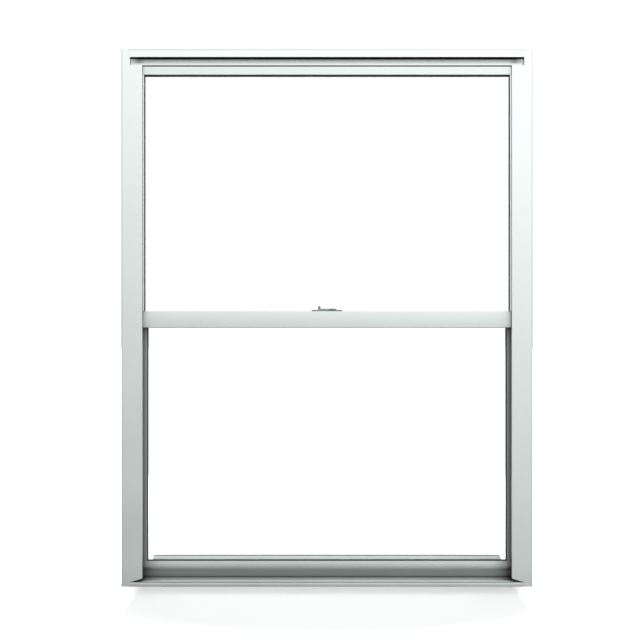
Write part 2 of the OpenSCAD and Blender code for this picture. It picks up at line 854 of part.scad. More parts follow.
module sash_back_gasket() {
    outer = sight_x + 8;
    w = 8 - 1;
    color([0.09, 0.1, 0.1]) ring(
        [-outer, outer], [sash_sight_z0 - 8, sash_sight_z1 + 8],
        [sash_glass_d1, sash_bead_d0], w, w, w, w);
}

module sash_setting_blocks() {
    color([0.2, 0.2, 0.2]) for (s = [-1, 1])
        block([s * setting_block_x - setting_block_l / 2,
               s * setting_block_x + setting_block_l / 2],
              [sash_glass_d0, sash_glass_d1],
              [bottom_shelf_z, sash_glass_z0]);
}

module sash_screws() {
    color("silver") for (side = ["left", "right"]) on_side(side)
        for (p = concat(top_rail_ports, bottom_rail_ports))
            screw(stile_floor_u, p[0], p[1], sash_screw_l);
}

// The two pile strips of a stile: a backing in the slot, and its fibres
module stile_pile() {
    half = pile_slot_w / 2 - 0.1;
    fibre = pile_mouth_w / 2 - 0.2;
    color([0.3, 0.31, 0.31])
        upright(sash_z0 + 5, sash_z1 - 5) {
            slab(pile_u - half, pile_u + half, sash_d0 + 1.1,
                 sash_d0 + 2.2);
            slab(pile_u - fibre, pile_u + fibre, parting_d1 + run_gap,
                 sash_d0 + 1.2);
            slab(pile_u - half, pile_u + half, sash_d1 - 2.2,
                 sash_d1 - 1.1);
            slab(pile_u - fibre, pile_u + fibre, sash_d1 - 1.2,
                 room_d0 - run_gap);
        }
}

module sill_bulb_seal() {
    d = seal_d;
    bulb_r = 1.55;
    z = sill_seat_z + run_gap + bulb_r;
    color([0.09, 0.1, 0.1])
        across(box_half - stile_floor_u - sash_wall - 1) union() {
            difference() {
                translate([d, z]) circle(r = bulb_r);
                translate([d, z]) circle(r = bulb_r - 0.6);
            }
            slab(d - 0.6, d + 0.6, z + bulb_r - 0.3,
                 sash_z0 + sash_wall + 0.6);
            slab(d - 1.4, d + 1.4, sash_z0 + sash_wall + 0.1,
                 sash_z0 + sash_wall + 1);
        }
}

// ------------------------------------------------------------------- lock

module at_pivot(z) {
    placed() translate([pivot_x, pivot_d, z]) children();
}

module lock_base() {
    mid_d = pivot_d + 1;
    end_r = 4;
    color("silver") placed() translate([0, mid_d, sash_z1]) difference() {
        union() {
            linear_extrude(height = lock_t) union() {
                square([lock_l - 2 * end_r, lock_d], center = true);
                square([lock_l, lock_d - 2 * end_r], center = true);
                for (x = [-1, 1]) for (y = [-1, 1])
                    translate([x * (lock_l / 2 - end_r),
                               y * (lock_d / 2 - end_r)])
                        circle(r = end_r);
            }
            translate([pivot_x, pivot_d - mid_d, 0])
                cylinder(r = 7.5, h = lock_t + 0.5);
        }
        translate([pivot_x, pivot_d - mid_d, -1])
            cylinder(r = spindle_r + pin_gap, h = lock_t + 3);
        for (s = [-1, 1]) translate([s * lock_screw_x, 0, -1]) {
            cylinder(r = screw_hole_r, h = lock_t + 2);
            translate([0, 0, 1 + lock_t - 1.6])
                cylinder(r = screw_head_r + 0.2, h = 3);
        }
    }
}

module lock_screws() {
    color("silver") placed() for (s = [-1, 1])
        translate([s * lock_screw_x, pivot_d + 1, sash_z1]) difference() {
            union() {
                translate([0, 0, lock_t - 1.6])
                    cylinder(r = screw_head_r, h = 1.6);
                translate([0, 0, -5])
                    cylinder(r = screw_r, h = 5 + lock_t - 1);
            }
            for (a = [0, 90]) rotate(a)
                translate([-screw_head_r + 0.8, -0.4, lock_t - 0.8])
                cube([2 * screw_head_r - 1.6, 0.8, 2]);
        }
}

// The sweep lever, stored pointing to -X, with its upright finger tab
module lock_lever() {
    hub_r = 9;
    arm_w = 9;
    tab_r = 2.9;
    tab_w = 12;
    arm_x = -(lever_l - tab_r);
    color("silver") at_pivot(lever_z) union() {
        difference() {
            linear_extrude(height = lever_t) union() {
                circle(r = hub_r);
                polygon([[0, -hub_r], [0, hub_r], [arm_x, arm_w / 2],
                         [arm_x, -arm_w / 2]]);
            }
            translate([0, 0, -1])
                cylinder(r = spindle_r + pin_gap, h = lever_t + 2);
        }
        translate([-lever_l, -tab_w / 2, 0])
            cube([2 * tab_r, tab_w, lever_t + tab_h - tab_r]);
        translate([arm_x, 0, lever_t + tab_h - tab_r]) rotate([90, 0, 0])
            cylinder(r = tab_r, h = tab_w, center = true);
    }
}

module lock_spindle() {
    top = lever_z + lever_t;
    color("silver") at_pivot(0) {
        translate([0, 0, cam_z])
            cylinder(r = spindle_r, h = top - cam_z);
        translate([0, 0, top]) cylinder(r1 = 4.2, r2 = 3, h = 0.8);
        translate([0, 0, cam_z - 0.8]) cylinder(r = 3.6, h = 0.8);
    }
}

// The tongue, stored pointing into the rail; it swings round to -Y
module lock_cam() {
    hub_r = 5.5;
    color("silver") at_pivot(cam_z) difference() {
        linear_extrude(height = cam_t) union() {
            circle(r = hub_r);
            slab(-cam_w / 2, cam_w / 2, 0, cam_tip - cam_w / 2);
            translate([0, cam_tip - cam_w / 2]) circle(r = cam_w / 2);
        }
        translate([0, 0, -1])
            cylinder(r = spindle_r + pin_gap, h = cam_t + 2);
    }
}

// ------------------------------------------------------------------ nodes

head();
sill();
on_side("left") jamb();  // left_jamb
on_side("right") jamb();  // right_jamb
fixed_meeting_rail();
frame_screws();
pane(fixed_glass_x, fixed_d0, fixed_glass_z0, fixed_glass_z1);  // fixed_outer_pane
pane(fixed_glass_x, fixed_d1 - pane_t, fixed_glass_z0, fixed_glass_z1);  // fixed_inner_pane
fixed_spacer();
fixed_bead_top();
on_side("left") fixed_bead_side();  // fixed_bead_left
on_side("right") fixed_bead_side();  // fixed_bead_right
fixed_front_gasket();
fixed_back_tape();
fixed_setting_blocks();
interlock_seal();
balance_tube("left");  // balance_tube_left
balance_tube("right");  // balance_tube_right
balance_plugs();
balance_spring("left");  // balance_spring_left
balance_spring("right");  // balance_spring_right
hanger_screws();
on_side("left") travel_stop();  // travel_stop_left
on_side("right") travel_stop();  // travel_stop_right
stop_screws();
sash_top_rail();
sash_bottom_rail();
on_side("left") sash_stile();  // sash_left_stile
on_side("right") sash_stile();  // sash_right_stile
pane(sash_glass_x, sash_glass_d0, sash_glass_z0, sash_glass_z1);  // sash_outer_pane
pane(sash_glass_x, sash_glass_d1 - pane_t, sash_glass_z0,  // sash_inner_pane
         sash_glass_z1);
sash_spacer();
sash_bead_flat(true);  // sash_bead_top
sash_bead_flat(false);  // sash_bead_bottom
on_side("left") sash_bead_side();  // sash_bead_left
on_side("right") sash_bead_side();  // sash_bead_right
sash_front_gasket();
sash_back_gasket();
sash_setting_blocks();
sash_screws();
on_side("left") stile_pile();  // left_stile_pile
on_side("right") stile_pile();  // right_stile_pile
sill_bulb_seal();
balance_rod("left");  // balance_rod_left
balance_rod("right");  // balance_rod_right
on_side("left") rod_bracket();  // rod_bracket_left
on_side("right") rod_bracket();  // rod_bracket_right
bracket_screws();
lock_base();
lock_screws();
lock_lever();
lock_spindle();
lock_cam();
drive_nut("left");  // drive_nut_left
drive_nut("right");  // drive_nut_right
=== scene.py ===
import logging
import math
from dataclasses import dataclass, field
from enum import Enum
from typing import Any, Mapping, Optional, Sequence

import bmesh
import bpy
from mathutils import Matrix, Vector


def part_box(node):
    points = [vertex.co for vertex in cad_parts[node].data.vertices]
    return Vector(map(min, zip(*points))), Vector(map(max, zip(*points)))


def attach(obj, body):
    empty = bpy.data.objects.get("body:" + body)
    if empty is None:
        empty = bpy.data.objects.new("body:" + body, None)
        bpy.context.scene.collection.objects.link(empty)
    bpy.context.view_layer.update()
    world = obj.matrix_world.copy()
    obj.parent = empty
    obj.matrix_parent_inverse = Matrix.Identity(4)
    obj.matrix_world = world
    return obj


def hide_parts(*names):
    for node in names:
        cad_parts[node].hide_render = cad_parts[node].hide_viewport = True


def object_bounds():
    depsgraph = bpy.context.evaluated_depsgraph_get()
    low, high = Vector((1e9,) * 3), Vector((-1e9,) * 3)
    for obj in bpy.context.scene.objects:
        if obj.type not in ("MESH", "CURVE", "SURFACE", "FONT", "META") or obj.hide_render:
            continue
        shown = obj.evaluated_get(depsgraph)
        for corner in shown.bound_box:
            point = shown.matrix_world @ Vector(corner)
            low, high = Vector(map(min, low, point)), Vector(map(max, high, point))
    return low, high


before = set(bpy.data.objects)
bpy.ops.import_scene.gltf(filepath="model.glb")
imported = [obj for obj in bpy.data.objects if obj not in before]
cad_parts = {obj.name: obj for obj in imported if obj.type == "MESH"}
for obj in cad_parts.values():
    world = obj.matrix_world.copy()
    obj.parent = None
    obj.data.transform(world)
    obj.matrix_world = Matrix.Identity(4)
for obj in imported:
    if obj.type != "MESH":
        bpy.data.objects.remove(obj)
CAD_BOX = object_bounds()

LOG = logging.getLogger("sash_window")
MM = 0.001
IN_PLACE = Matrix.Identity(4)
WEATHER_FACE = CAD_BOX[0].y
ROOM_FACE = CAD_BOX[1].y
HALF_WIDTH = CAD_BOX[1].x
HALF_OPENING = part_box("right_jamb")[0].x
Colour = tuple[float, float, float]
Pair = tuple[float, float]
Triple = tuple[float, float, float]
Socket = bpy.types.NodeSocket
Mesh = bpy.types.Mesh
Material = bpy.types.Material


class Grain(Enum):
    """Which way an extrusion was drawn, and so which way its grain runs."""

    UPRIGHT = (1.0, 1.0, 0.012)
    ACROSS = (0.012, 1.0, 1.0)


class Side(Enum):
    """The left or the right side seen from outdoors, as nodes' names give it."""

    LEFT = "left"
    RIGHT = "right"


# ------------------------------------------------------------- node graphs


@dataclass
class Graph:
    """Adds, fills and links the nodes of one tree.

    Args:
        tree: the node tree that is being built.
    """

    tree: bpy.types.NodeTree

    def add(self, kind: str, inputs: Optional[Mapping[Any, Any]] = None,
            **settings: Any) -> bpy.types.Node:
        """Makes a node.

        Args:
            kind: the node's type name.
            inputs: values or output sockets, by input name or index. A colour may
                leave out its alpha, which is then 1.
            settings: the node's own properties.

        Returns:
            The new node.
        """
        node = self.tree.nodes.new(kind)
        for key, value in settings.items():
            setattr(node, key, value)
        for key, value in (inputs or {}).items():
            socket = node.inputs[key]
            if isinstance(value, Socket):
                self.tree.links.new(value, socket)
            elif socket.type == "RGBA" and len(value) == 3:
                socket.default_value = (*value, 1.0)
            else:
                socket.default_value = value
        return node

    def coordinates(self, kind: str = "Object") -> Socket:
        """Returns one output of a Texture Coordinate node."""
        return self.add("ShaderNodeTexCoord").outputs[kind]

    def parts(self, vector: Any) -> Any:
        """Returns the X, Y and Z sockets of a vector."""
        return self.add("ShaderNodeSeparateXYZ", {0: vector}).outputs

    def math(self, operation: str, first: Any, second: Any = 0.0) -> Socket:
        """Returns the output of a Math node on two values or sockets."""
        node = self.add("ShaderNodeMath", {0: first, 1: second}, operation=operation)
        return node.outputs[0]

    def product(self, first: Any, *others: Any) -> Any:
        """Returns the product of values or sockets."""
        for other in others:
            first = self.math("MULTIPLY", first, other)
        return first

    def either(self, first: Any, second: Any) -> Socket:
        """Returns how far one mask or the other covers the surface."""
        bare = self.product(self.math("SUBTRACT", 1.0, first), self.math("SUBTRACT", 1.0, second))
        return self.math("SUBTRACT", 1.0, bare)

    def scaled(self, vector: Any, factors: Sequence[float]) -> Socket:
        """Returns a vector multiplied part by part by three factors."""
        node = self.add("ShaderNodeVectorMath", {0: vector, 1: tuple(factors)},
                        operation="MULTIPLY")
        return node.outputs[0]

    def noise(self, vector: Any, scale: Any, detail: float = 2.0,
              roughness: float = 0.5) -> Socket:
        """Returns the value of a Noise texture."""
        node = self.add("ShaderNodeTexNoise",
                        {"Vector": vector, "Scale": scale, "Detail": detail,
                         "Roughness": roughness})
        return node.outputs[0]

    def remap(self, value: Any, low: Any, high: Any, start: Any = 0.0, end: Any = 1.0) -> Socket:
        """Returns a value moved from start..end to low..high."""
        node = self.add("ShaderNodeMapRange",
                        {"Value": value, "From Min": start, "From Max": end,
                         "To Min": low, "To Max": high})
        return node.outputs[0]

    def stretched(self, noise: Any, low: Any, high: Any, trim: float) -> Socket:
        """Returns a noise moved to low..high, with this share cut off both its ends."""
        return self.remap(noise, low, high, trim, 1.0 - trim)

    def between(self, share: Any, first: Any, second: Any) -> Socket:
        """Returns a value between two values."""
        node = self.add("ShaderNodeMix", {0: share, 2: first, 3: second}, data_type="FLOAT")
        return node.outputs[0]

    def blend(self, share: Any, first: Any, second: Any) -> Socket:
        """Returns a colour between two colours."""
        node = self.add("ShaderNodeMix", {0: share, 6: first, 7: second}, data_type="RGBA")
        return node.outputs[2]

    def surface(self, shader: bpy.types.Node, other: Optional[bpy.types.Node] = None,
                share: Any = 0.0) -> None:
        """Makes a shader, or a share of another one over it, the material's surface."""
        if other:
            shader = self.add("ShaderNodeMixShader", {
                0: share, 1: shader.outputs[0], 2: other.outputs[0]})
        self.add("ShaderNodeOutputMaterial", {"Surface": shader.outputs[0]})


def open_sockets(tree: bpy.types.NodeTree, way: str,
                 sockets: Sequence[tuple[str, str, Any]]) -> None:
    """Gives a node tree its named inputs or outputs.

    Args:
        tree: the node tree.
        way: INPUT or OUTPUT.
        sockets: name, kind and first value of each, with None for no value.
    """
    for name, kind, value in sockets:
        socket = tree.interface.new_socket(name, in_out=way, socket_type="NodeSocket" + kind)
        if value is not None:
            socket.default_value = value


def spaced(values: Mapping[str, Any]) -> dict[str, Any]:
    """Returns the values under names with a space for each _."""
    return {key.replace("_", " "): value for key, value in values.items()}


@dataclass
class Effect:
    """A shader node group that several finishes share.

    Args:
        name: the group's name.
        takes: names, kinds and first values of its inputs.
        gives: names of its outputs, which are all numbers.
    """

    name: str
    takes: tuple[tuple[str, str, Any], ...]
    gives: tuple[str, ...]
    tree: bpy.types.NodeTree = field(init=False)
    graph: Graph = field(init=False)
    given: Any = field(init=False)
    result: bpy.types.Node = field(init=False)

    def __post_init__(self) -> None:
        """Makes the empty group with its sockets."""
        self.tree = bpy.data.node_groups.new(self.name, "ShaderNodeTree")
        open_sockets(self.tree, "INPUT", self.takes)
        open_sockets(self.tree, "OUTPUT", [(name, "Float", None) for name in self.gives])
        self.graph = Graph(self.tree)
        self.given = self.graph.add("NodeGroupInput").outputs
        self.result = self.graph.add("NodeGroupOutput")

    def give(self, name: str, value: Socket) -> None:
        """Links a value to one of the group's outputs."""
        self.tree.links.new(value, self.result.inputs[name])

    def place(self, graph: Graph, **inputs: Any) -> Any:
        """Places the group in a material's graph and returns its output sockets."""
        return graph.add("ShaderNodeGroup", spaced(inputs), node_tree=self.tree).outputs


def drawn_grain() -> Effect:
    """The fine lines and mottle that drawing and anodising leave on metal."""
    effect = Effect("Drawn grain",
                    (("Vector", "Vector", None), ("Fineness", "Float", 900.0),
                     ("Mottle Scale", "Float", 260.0), ("Mottle", "Float", 0.5),
                     ("Cloud Scale", "Float", 9.0), ("Cloud", "Float", 0.3)),
                    ("Value", "Height"))
    graph, given = effect.graph, effect.given
    lines = graph.noise(given["Vector"], given["Fineness"], detail=3.0, roughness=0.6)
    coordinates = graph.coordinates()
    mottle = graph.noise(coordinates, given["Mottle Scale"], detail=4.0, roughness=0.7)
    cloud = graph.noise(coordinates, given["Cloud Scale"])
    fine = graph.between(given["Mottle"], lines, mottle)
    effect.give("Value", graph.between(given["Cloud"], fine, cloud))
    effect.give("Height", fine)
    return effect


def speckle() -> Effect:
    """A plain fine unevenness for rubber, plastics, pile and castings."""
    effect = Effect("Speckle", (("Scale", "Float", 400.0),), ("Value", "Height"))
    graph, given = effect.graph, effect.given
    noise = graph.noise(graph.coordinates(), given["Scale"], detail=3.0, roughness=0.6)
    effect.give("Value", graph.stretched(noise, 0.0, 1.0, trim=0.3))
    effect.give("Height", noise)
    return effect


def settled_dust() -> Effect:
    """A mask of thin dust on what faces up."""
    effect = Effect("Settled dust",
                    (("Amount", "Float", 0.2), ("Scale", "Float", 60.0)), ("Mask",))
    graph, given = effect.graph, effect.given
    normal = graph.add("ShaderNodeNewGeometry").outputs["Normal"]
    upward = graph.remap(graph.parts(normal)["Z"], 0.0, 1.0, start=0.5, end=0.95)
    noise = graph.noise(graph.coordinates(), given["Scale"], detail=4.0, roughness=0.65)
    patches = graph.stretched(noise, 0.25, 1.0, trim=0.35)
    effect.give("Mask", graph.product(upward, patches, given["Amount"]))
    return effect


def painted_recess_shade() -> Effect:
    """A mask of painted shade in the weather side's grooves, recesses and inner corners, from
    ambient occlusion.

    The painted shade is lighter on the outermost face and fades out toward the room side.
    """
    effect = Effect("Painted recess shade",
                    (("Reach", "Float", 30.0 * MM), ("Amount", "Float", 0.9),
                     ("Fade", "Float", 1.0), ("Washed", "Float", -33.0 * MM)),
                    ("Mask",))
    graph, given = effect.graph, effect.given
    # Painted shade: ambient occlusion darkens what lies deep in grooves and corners.
    open_share = graph.add("ShaderNodeAmbientOcclusion",
                           {"Distance": given["Reach"]}, samples=16).outputs["AO"]
    closed = graph.math("SUBTRACT", 1.0, open_share)
    shaped = graph.math("POWER", closed, given["Fade"])
    depth = graph.parts(graph.coordinates())["Y"]
    shade_depth = graph.remap(depth, 0.15, 1.0, WEATHER_FACE + 0.1 * MM, given["Washed"])
    room_side_fade = graph.remap(depth, 1.0, 0.12, 4.0 * MM, 16.0 * MM)
    effect.give("Mask", graph.product(shaped, shade_depth, room_side_fade, given["Amount"]))
    return effect


def painted_end_shade() -> Effect:
    """A mask of painted shade toward the left and right ends of the weather side."""
    effect = Effect("Painted end shade",
                    (("Clean X", "Float", 0.4), ("Dirty X", "Float", 0.42),
                     ("Dirt", "Float", 0.35), ("Above", "Float", -1.0)), ("Mask",))
    graph, given = effect.graph, effect.given
    place = graph.parts(graph.coordinates())
    outdoors = graph.remap(place["Y"], given["Dirt"], 0.0, 0.0, 10.0 * MM)
    high = graph.math("GREATER_THAN", place["Z"], given["Above"])
    effect.give("Mask", graph.remap(
        graph.math("ABSOLUTE", place["X"]), 0.0, graph.product(outdoors, high),
        given["Clean X"], given["Dirty X"]))
    return effect


def painted_shade_bands() -> Effect:
    """A mask of painted shade above and below a band left light, plus an even share on the room
    side.
    """
    effect = Effect("Painted shade bands",
                    (("Band Z", "Float", 0.0), ("Plain", "Float", 5.0 * MM),
                     ("Spread", "Float", 10.0 * MM), ("Stain", "Float", 0.5),
                     ("Haze", "Float", 0.0)), ("Mask",))
    graph, given = effect.graph, effect.given
    place = graph.parts(graph.coordinates())
    off = graph.math("ABSOLUTE", graph.math("SUBTRACT", place["Z"], given["Band Z"]))
    outdoors = graph.remap(place["Y"], given["Stain"], 0.0, 0.0, 10.0 * MM)
    indoors = graph.remap(place["Y"], 0.0, given["Haze"], 10.0 * MM, 12.0 * MM)
    band_shade_mask = graph.remap(off, 0.0, outdoors, given["Plain"], given["Spread"])
    effect.give("Mask", graph.math("ADD", indoors, band_shade_mask))
    return effect


def drawn_crown() -> Effect:
    """How far a drawn face falls back above and below its middle."""
    effect = Effect("Drawn crown",
                    (("Curve", "Float", 1.0), ("Middle Z", "Float", 0.0),
                     ("Last Y", "Float", 0.0)), ("Height",))
    graph, given = effect.graph, effect.given
    place = graph.parts(graph.coordinates())
    off = graph.math("SUBTRACT", place["Z"], given["Middle Z"])
    outside = graph.remap(place["Y"], given["Curve"], 0.0, given["Last Y"],
                          graph.math("ADD", given["Last Y"], 2.0 * MM))
    effect.give("Height", graph.product(off, off, outside))
    return effect


DRAWN_GRAIN = drawn_grain()
SPECKLE = speckle()
SETTLED_DUST = settled_dust()
PAINTED_RECESS_SHADE = painted_recess_shade()
PAINTED_END_SHADE = painted_end_shade()
PAINTED_SHADE_BANDS = painted_shade_bands()
DRAWN_CROWN = drawn_crown()


# ---------------------------------------------------------------- finishes

DUST_ON_METAL: Colour = (0.62, 0.6, 0.56)
DUST_ELSEWHERE: Colour = (0.6, 0.58, 0.54)
# Near-black into which the painted shade masks darken the metal.
PAINTED_SHADE_COLOUR: Colour = (0.02, 0.022, 0.022)
DUST_ROUGHNESS = 0.4
DUST_METALLIC = 0.3


def new_material(name: str) -> tuple[Material, Graph]:
    """Makes a material without nodes.

    Args:
        name: the material's name.

    Returns:
        The material and its graph.
    """
    material = bpy.data.materials.new(name)
    material.use_nodes = True
    material.node_tree.nodes.clear()
    return material, Graph(material.node_tree)


@dataclass(frozen=True)
class DrawnMetal:
    """Satin aluminium with the grain of its drawing, and painted shade in its grooves and
    recesses.

    Args:
        name: the material's name.
        grain: which way the metal was drawn.
        tone: its colour where it is lightest.
        shade: its colour where it is darkest.
        smooth: roughness where it is smoothest.
        rough: roughness where it is roughest.
        relief: depth of the grain, in metres.
        dust: how much dust lies on what faces up.
        shade_strength: how dark the painted shade in the grooves and recesses is.
        reach: how far out of a groove the painted shade comes, in metres.
        fade: how fast it thins out.
        shade_depth: the Y value from which the painted shade is full; toward the weather face it
            is lighter.
        crown: how much the drawn face bulges, per metre of height squared.
        crown_z: the height of the bulge's middle, in metres.
        crown_y: the Y value behind which nothing bulges.
    """

    name: str
    grain: Grain
    tone: Colour = (0.735, 0.785, 0.765)
    shade: Colour = (0.69, 0.74, 0.72)
    smooth: float = 0.36
    rough: float = 0.47
    relief: float = 0.006 * MM
    dust: float = 0.06
    shade_strength: float = 1.0
    reach: float = 60.0 * MM
    fade: float = 0.7
    shade_depth: float = -33.0 * MM
    crown: float = 0.0
    crown_z: float = 0.0
    crown_y: float = 20.0 * MM

    def build(self) -> Material:
        """Returns the finished material."""
        material, graph = new_material(self.name)
        grain = DRAWN_GRAIN.place(
            graph, Vector=graph.scaled(graph.coordinates(), self.grain.value),
            Fineness=1400.0, Mottle_Scale=520.0, Mottle=0.45)
        dust = SETTLED_DUST.place(graph, Amount=self.dust, Scale=45.0)["Mask"]
        share = graph.stretched(grain["Value"], 0.0, 1.0, trim=0.35)
        metal = graph.blend(share, self.shade, self.tone)
        metallic = graph.remap(dust, 1.0, DUST_METALLIC)
        metal, metallic = self.room_side(graph, metal, metallic)
        dusted = graph.blend(dust, metal, DUST_ON_METAL)
        polish = graph.stretched(grain["Value"], self.smooth, self.rough, trim=0.3)
        bump = graph.add("ShaderNodeBump",
                         {"Strength": 1.0, "Distance": 1.0,
                          "Height": self.height(graph, grain["Height"])})
        # The base colour is darkened toward near-black wherever shade is painted.
        shader = graph.add("ShaderNodeBsdfPrincipled", {
            "Base Color": graph.blend(self.painted_shade(graph), dusted, PAINTED_SHADE_COLOUR),
            "Roughness": graph.math("ADD", polish, graph.product(dust, DUST_ROUGHNESS)),
            "Metallic": metallic, "Normal": bump.outputs[0]})
        graph.surface(shader)
        return material

    def height(self, graph: Graph, grain: Socket) -> Socket:
        """Returns the surface's height, in metres, from the height of its grain."""
        fine = graph.product(grain, self.relief)
        if not self.crown:
            return fine
        fall = DRAWN_CROWN.place(graph, Curve=self.crown, Middle_Z=self.crown_z,
                                 Last_Y=self.crown_y)
        return graph.math("SUBTRACT", fine, fall["Height"])

    def room_side(self, graph: Graph, metal: Socket, metallic: Socket ) -> tuple[Socket, Socket]:
        """Returns the clean metal's colour and its metallic share, here unchanged."""
        return metal, metallic

    def painted_shade(self, graph: Graph) -> Socket:
        """Returns where shade is painted, from 0 to 1."""
        return PAINTED_RECESS_SHADE.place(graph, Reach=self.reach, Amount=self.shade_strength,
                                   Fade=self.fade, Washed=self.shade_depth)["Mask"]


@dataclass(frozen=True, kw_only=True)
class ShelteredMetal(DrawnMetal):
    """Metal under an overhang, with painted shade below the overhang's edge.

    Args:
        shade_low_z: the height below which the painted shade is faint, in metres.
        clean_x: how far from the middle the painted shade begins to thin out, in metres.
        edge_z: the height above which its upper edge is darker, in metres.
        start: the least occlusion that gets painted shade.
        full: the occlusion at which the painted shade is full.
        edge_darkness: how dark the upper edge is.
    """

    shade_low_z: float
    clean_x: float
    edge_z: float
    start: float = 0.08
    full: float = 0.3
    edge_darkness: float = 0.18

    def painted_shade(self, graph: Graph) -> Socket:
        """Returns where shade is painted, from 0 to 1."""
        shelter = PAINTED_RECESS_SHADE.place(graph, Reach=self.reach, Amount=1.0, Fade=1.0)
        shade_under_overhang = graph.remap(shelter["Mask"], 0.0, self.shade_strength, self.start, self.full)
        place = graph.parts(graph.coordinates())
        inner = graph.remap(graph.math("ABSOLUTE", place["X"]), 1.0, 0.3, self.clean_x,
                            self.clean_x + 18.0 * MM)
        above = graph.remap(place["Z"], 0.15, 1.0, self.shade_low_z, self.shade_low_z + 5.0 * MM)
        edge = graph.remap(place["Z"], 0.0, self.edge_darkness, self.edge_z, self.edge_z + 1.0 * MM)
        return graph.math("MAXIMUM", graph.product(shade_under_overhang, inner, above), edge)


@dataclass(frozen=True, kw_only=True)
class EndedMetal(DrawnMetal):
    """Metal that is dirty near its left and right ends.

    Args:
        clean_x: how far from the middle the painted shade begins, in metres.
        dark_x: how far from the middle it is full, in metres.
        end_darkness: how dark it is.
        end_darkness: how dark it is.
        above: the height under which there is none, in metres.
    """

    clean_x: float
    dark_x: float
    end_darkness: float
    above: float = -1.0

    def painted_shade(self, graph: Graph) -> Socket:
        """Returns where shade is painted, from 0 to 1."""
        ends = PAINTED_END_SHADE.place(graph, Clean_X=self.clean_x, Dirty_X=self.dark_x,
                              Dirt=self.end_darkness, Above=self.above)
        return graph.either(ends["Mask"], super().painted_shade(graph))


@dataclass(frozen=True, kw_only=True)
class ShadeBandedMetal(DrawnMetal):
    """Metal with painted shade above and below a band left light.

    Args:
        band_z: the height of the light band's middle, in metres.
        plain: how far from there the metal has no painted shade, in metres.
        spread: how far from there the painted shade is full, in metres.
        band_shade: how dark the painted shade is.
        haze: how much the room side is darkened, evenly.
    """

    band_z: float
    plain: float
    spread: float
    band_shade: float
    haze: float = 0.0

    def painted_shade(self, graph: Graph) -> Socket:
        """Returns where shade is painted, from 0 to 1."""
        band_shade_mask = PAINTED_SHADE_BANDS.place(graph, Band_Z=self.band_z, Plain=self.plain,
                                   Spread=self.spread, Stain=self.band_shade, Haze=self.haze)
        return graph.either(band_shade_mask["Mask"], super().painted_shade(graph))


@dataclass(frozen=True, kw_only=True)
class LiftRailMetal(ShadeBandedMetal):
    """Shade-banded metal with a lift lip whose glass side is painted near white as a painted
    reflection, under a rim painted dark as painted shade.

    Args:
        lip_y: the Y value behind which the lip stands.
        rim_z: the height above which the lip's glass side is painted dark, in metres.
        pale: the near-white colour of the lip's glass side, a painted reflection.
        rim: the dark colour of its upper edge, a painted shade.
        gloss: what is left of the metallic share there.
    """

    lip_y: float
    rim_z: float
    pale: Colour = (0.99, 1.0, 1.0)
    rim: Colour = (0.13, 0.14, 0.137)
    gloss: float = 0.2

    def room_side(self, graph: Graph, metal: Socket, metallic: Socket ) -> tuple[Socket, Socket]:
        """Returns the clean metal's colour and its metallic share, with the lip's."""
        place = graph.parts(graph.coordinates())
        facing = graph.parts(graph.coordinates("Normal"))["Y"]
        lip = graph.product(
            graph.remap(place["Y"], 0.0, 1.0, self.lip_y, self.lip_y + 2.5 * MM),
            graph.remap(facing, 1.0, 0.0, start=-0.9, end=-0.6))
        # Painted reflection below rim_z, painted shade on the rim above it.
        high = graph.math("GREATER_THAN", place["Z"], self.rim_z)
        own = graph.blend(high, self.pale, self.rim)
        return (graph.blend(lip, metal, own),
                graph.product(metallic, graph.remap(lip, 1.0, self.gloss)))


@dataclass(frozen=True)
class PlainSurface:
    """An even surface with a fine speckle: rubber, plastic, pile or casting.

    Args:
        name: the material's name.
        tone: its lighter colour.
        shade: its darker colour.
        smooth: its lowest roughness.
        rough: its highest roughness.
        metallic: 0 for a plastic, 1 for a bare metal.
        scale: the speckle's fineness.
        relief: the speckle's depth, in metres.
        coat: weight of a clear coat.
        sheen: weight of a fabric's sheen.
        dust: how much dust lies on what faces up.
    """

    name: str
    tone: Colour
    shade: Colour
    smooth: float
    rough: float
    metallic: float = 0.0
    scale: float = 700.0
    relief: float = 0.02 * MM
    coat: float = 0.0
    sheen: float = 0.0
    dust: float = 0.1

    def build(self) -> Material:
        """Returns the finished material."""
        material, graph = new_material(self.name)
        grit = SPECKLE.place(graph, Scale=self.scale)
        dust = SETTLED_DUST.place(graph, Amount=self.dust, Scale=70.0)["Mask"]
        own = graph.blend(grit["Value"], self.shade, self.tone)
        bump = graph.add("ShaderNodeBump",
                         {"Strength": 0.6, "Distance": self.relief,
                          "Height": grit["Height"]})
        shader = graph.add("ShaderNodeBsdfPrincipled", {
            "Base Color": graph.blend(dust, own, DUST_ELSEWHERE),
            "Roughness": graph.remap(grit["Value"], self.smooth, self.rough),
            "Metallic": self.metallic, "Normal": bump.outputs[0],
            "Coat Weight": self.coat, "Sheen Weight": self.sheen})
        graph.surface(shader)
        return material


@dataclass(frozen=True)
class FloatGlass:
    """Clear float glass with a trace of green and faint wiping marks.

    Args:
        name: the material's name.
        tint: what one surface lets through.
        haze: the most roughness the wiping marks add.
        bending: the glass's index of refraction.
    """

    name: str
    tint: Colour = (0.985, 1.0, 0.994)
    haze: float = 0.02
    bending: float = 1.45

    def build(self) -> Material:
        """Returns the finished material, which casts no dark shadow."""
        material, graph = new_material(self.name)
        swept = graph.scaled(graph.coordinates(), (1.0, 1.0, 0.35))
        marks = graph.noise(swept, 7.0, detail=5.0, roughness=0.6)
        shader = graph.add("ShaderNodeBsdfPrincipled", {
            "Base Color": self.tint, "Transmission Weight": 1.0,
            "IOR": self.bending,
            "Roughness": graph.remap(marks, 0.0, self.haze, start=0.45, end=0.75)})
        clear = graph.add("ShaderNodeBsdfTransparent", {"Color": self.tint})
        path = graph.add("ShaderNodeLightPath").outputs
        through = graph.math("MAXIMUM", path["Is Shadow Ray"], path["Is Diffuse Ray"])
        graph.surface(shader, clear, through)
        return material


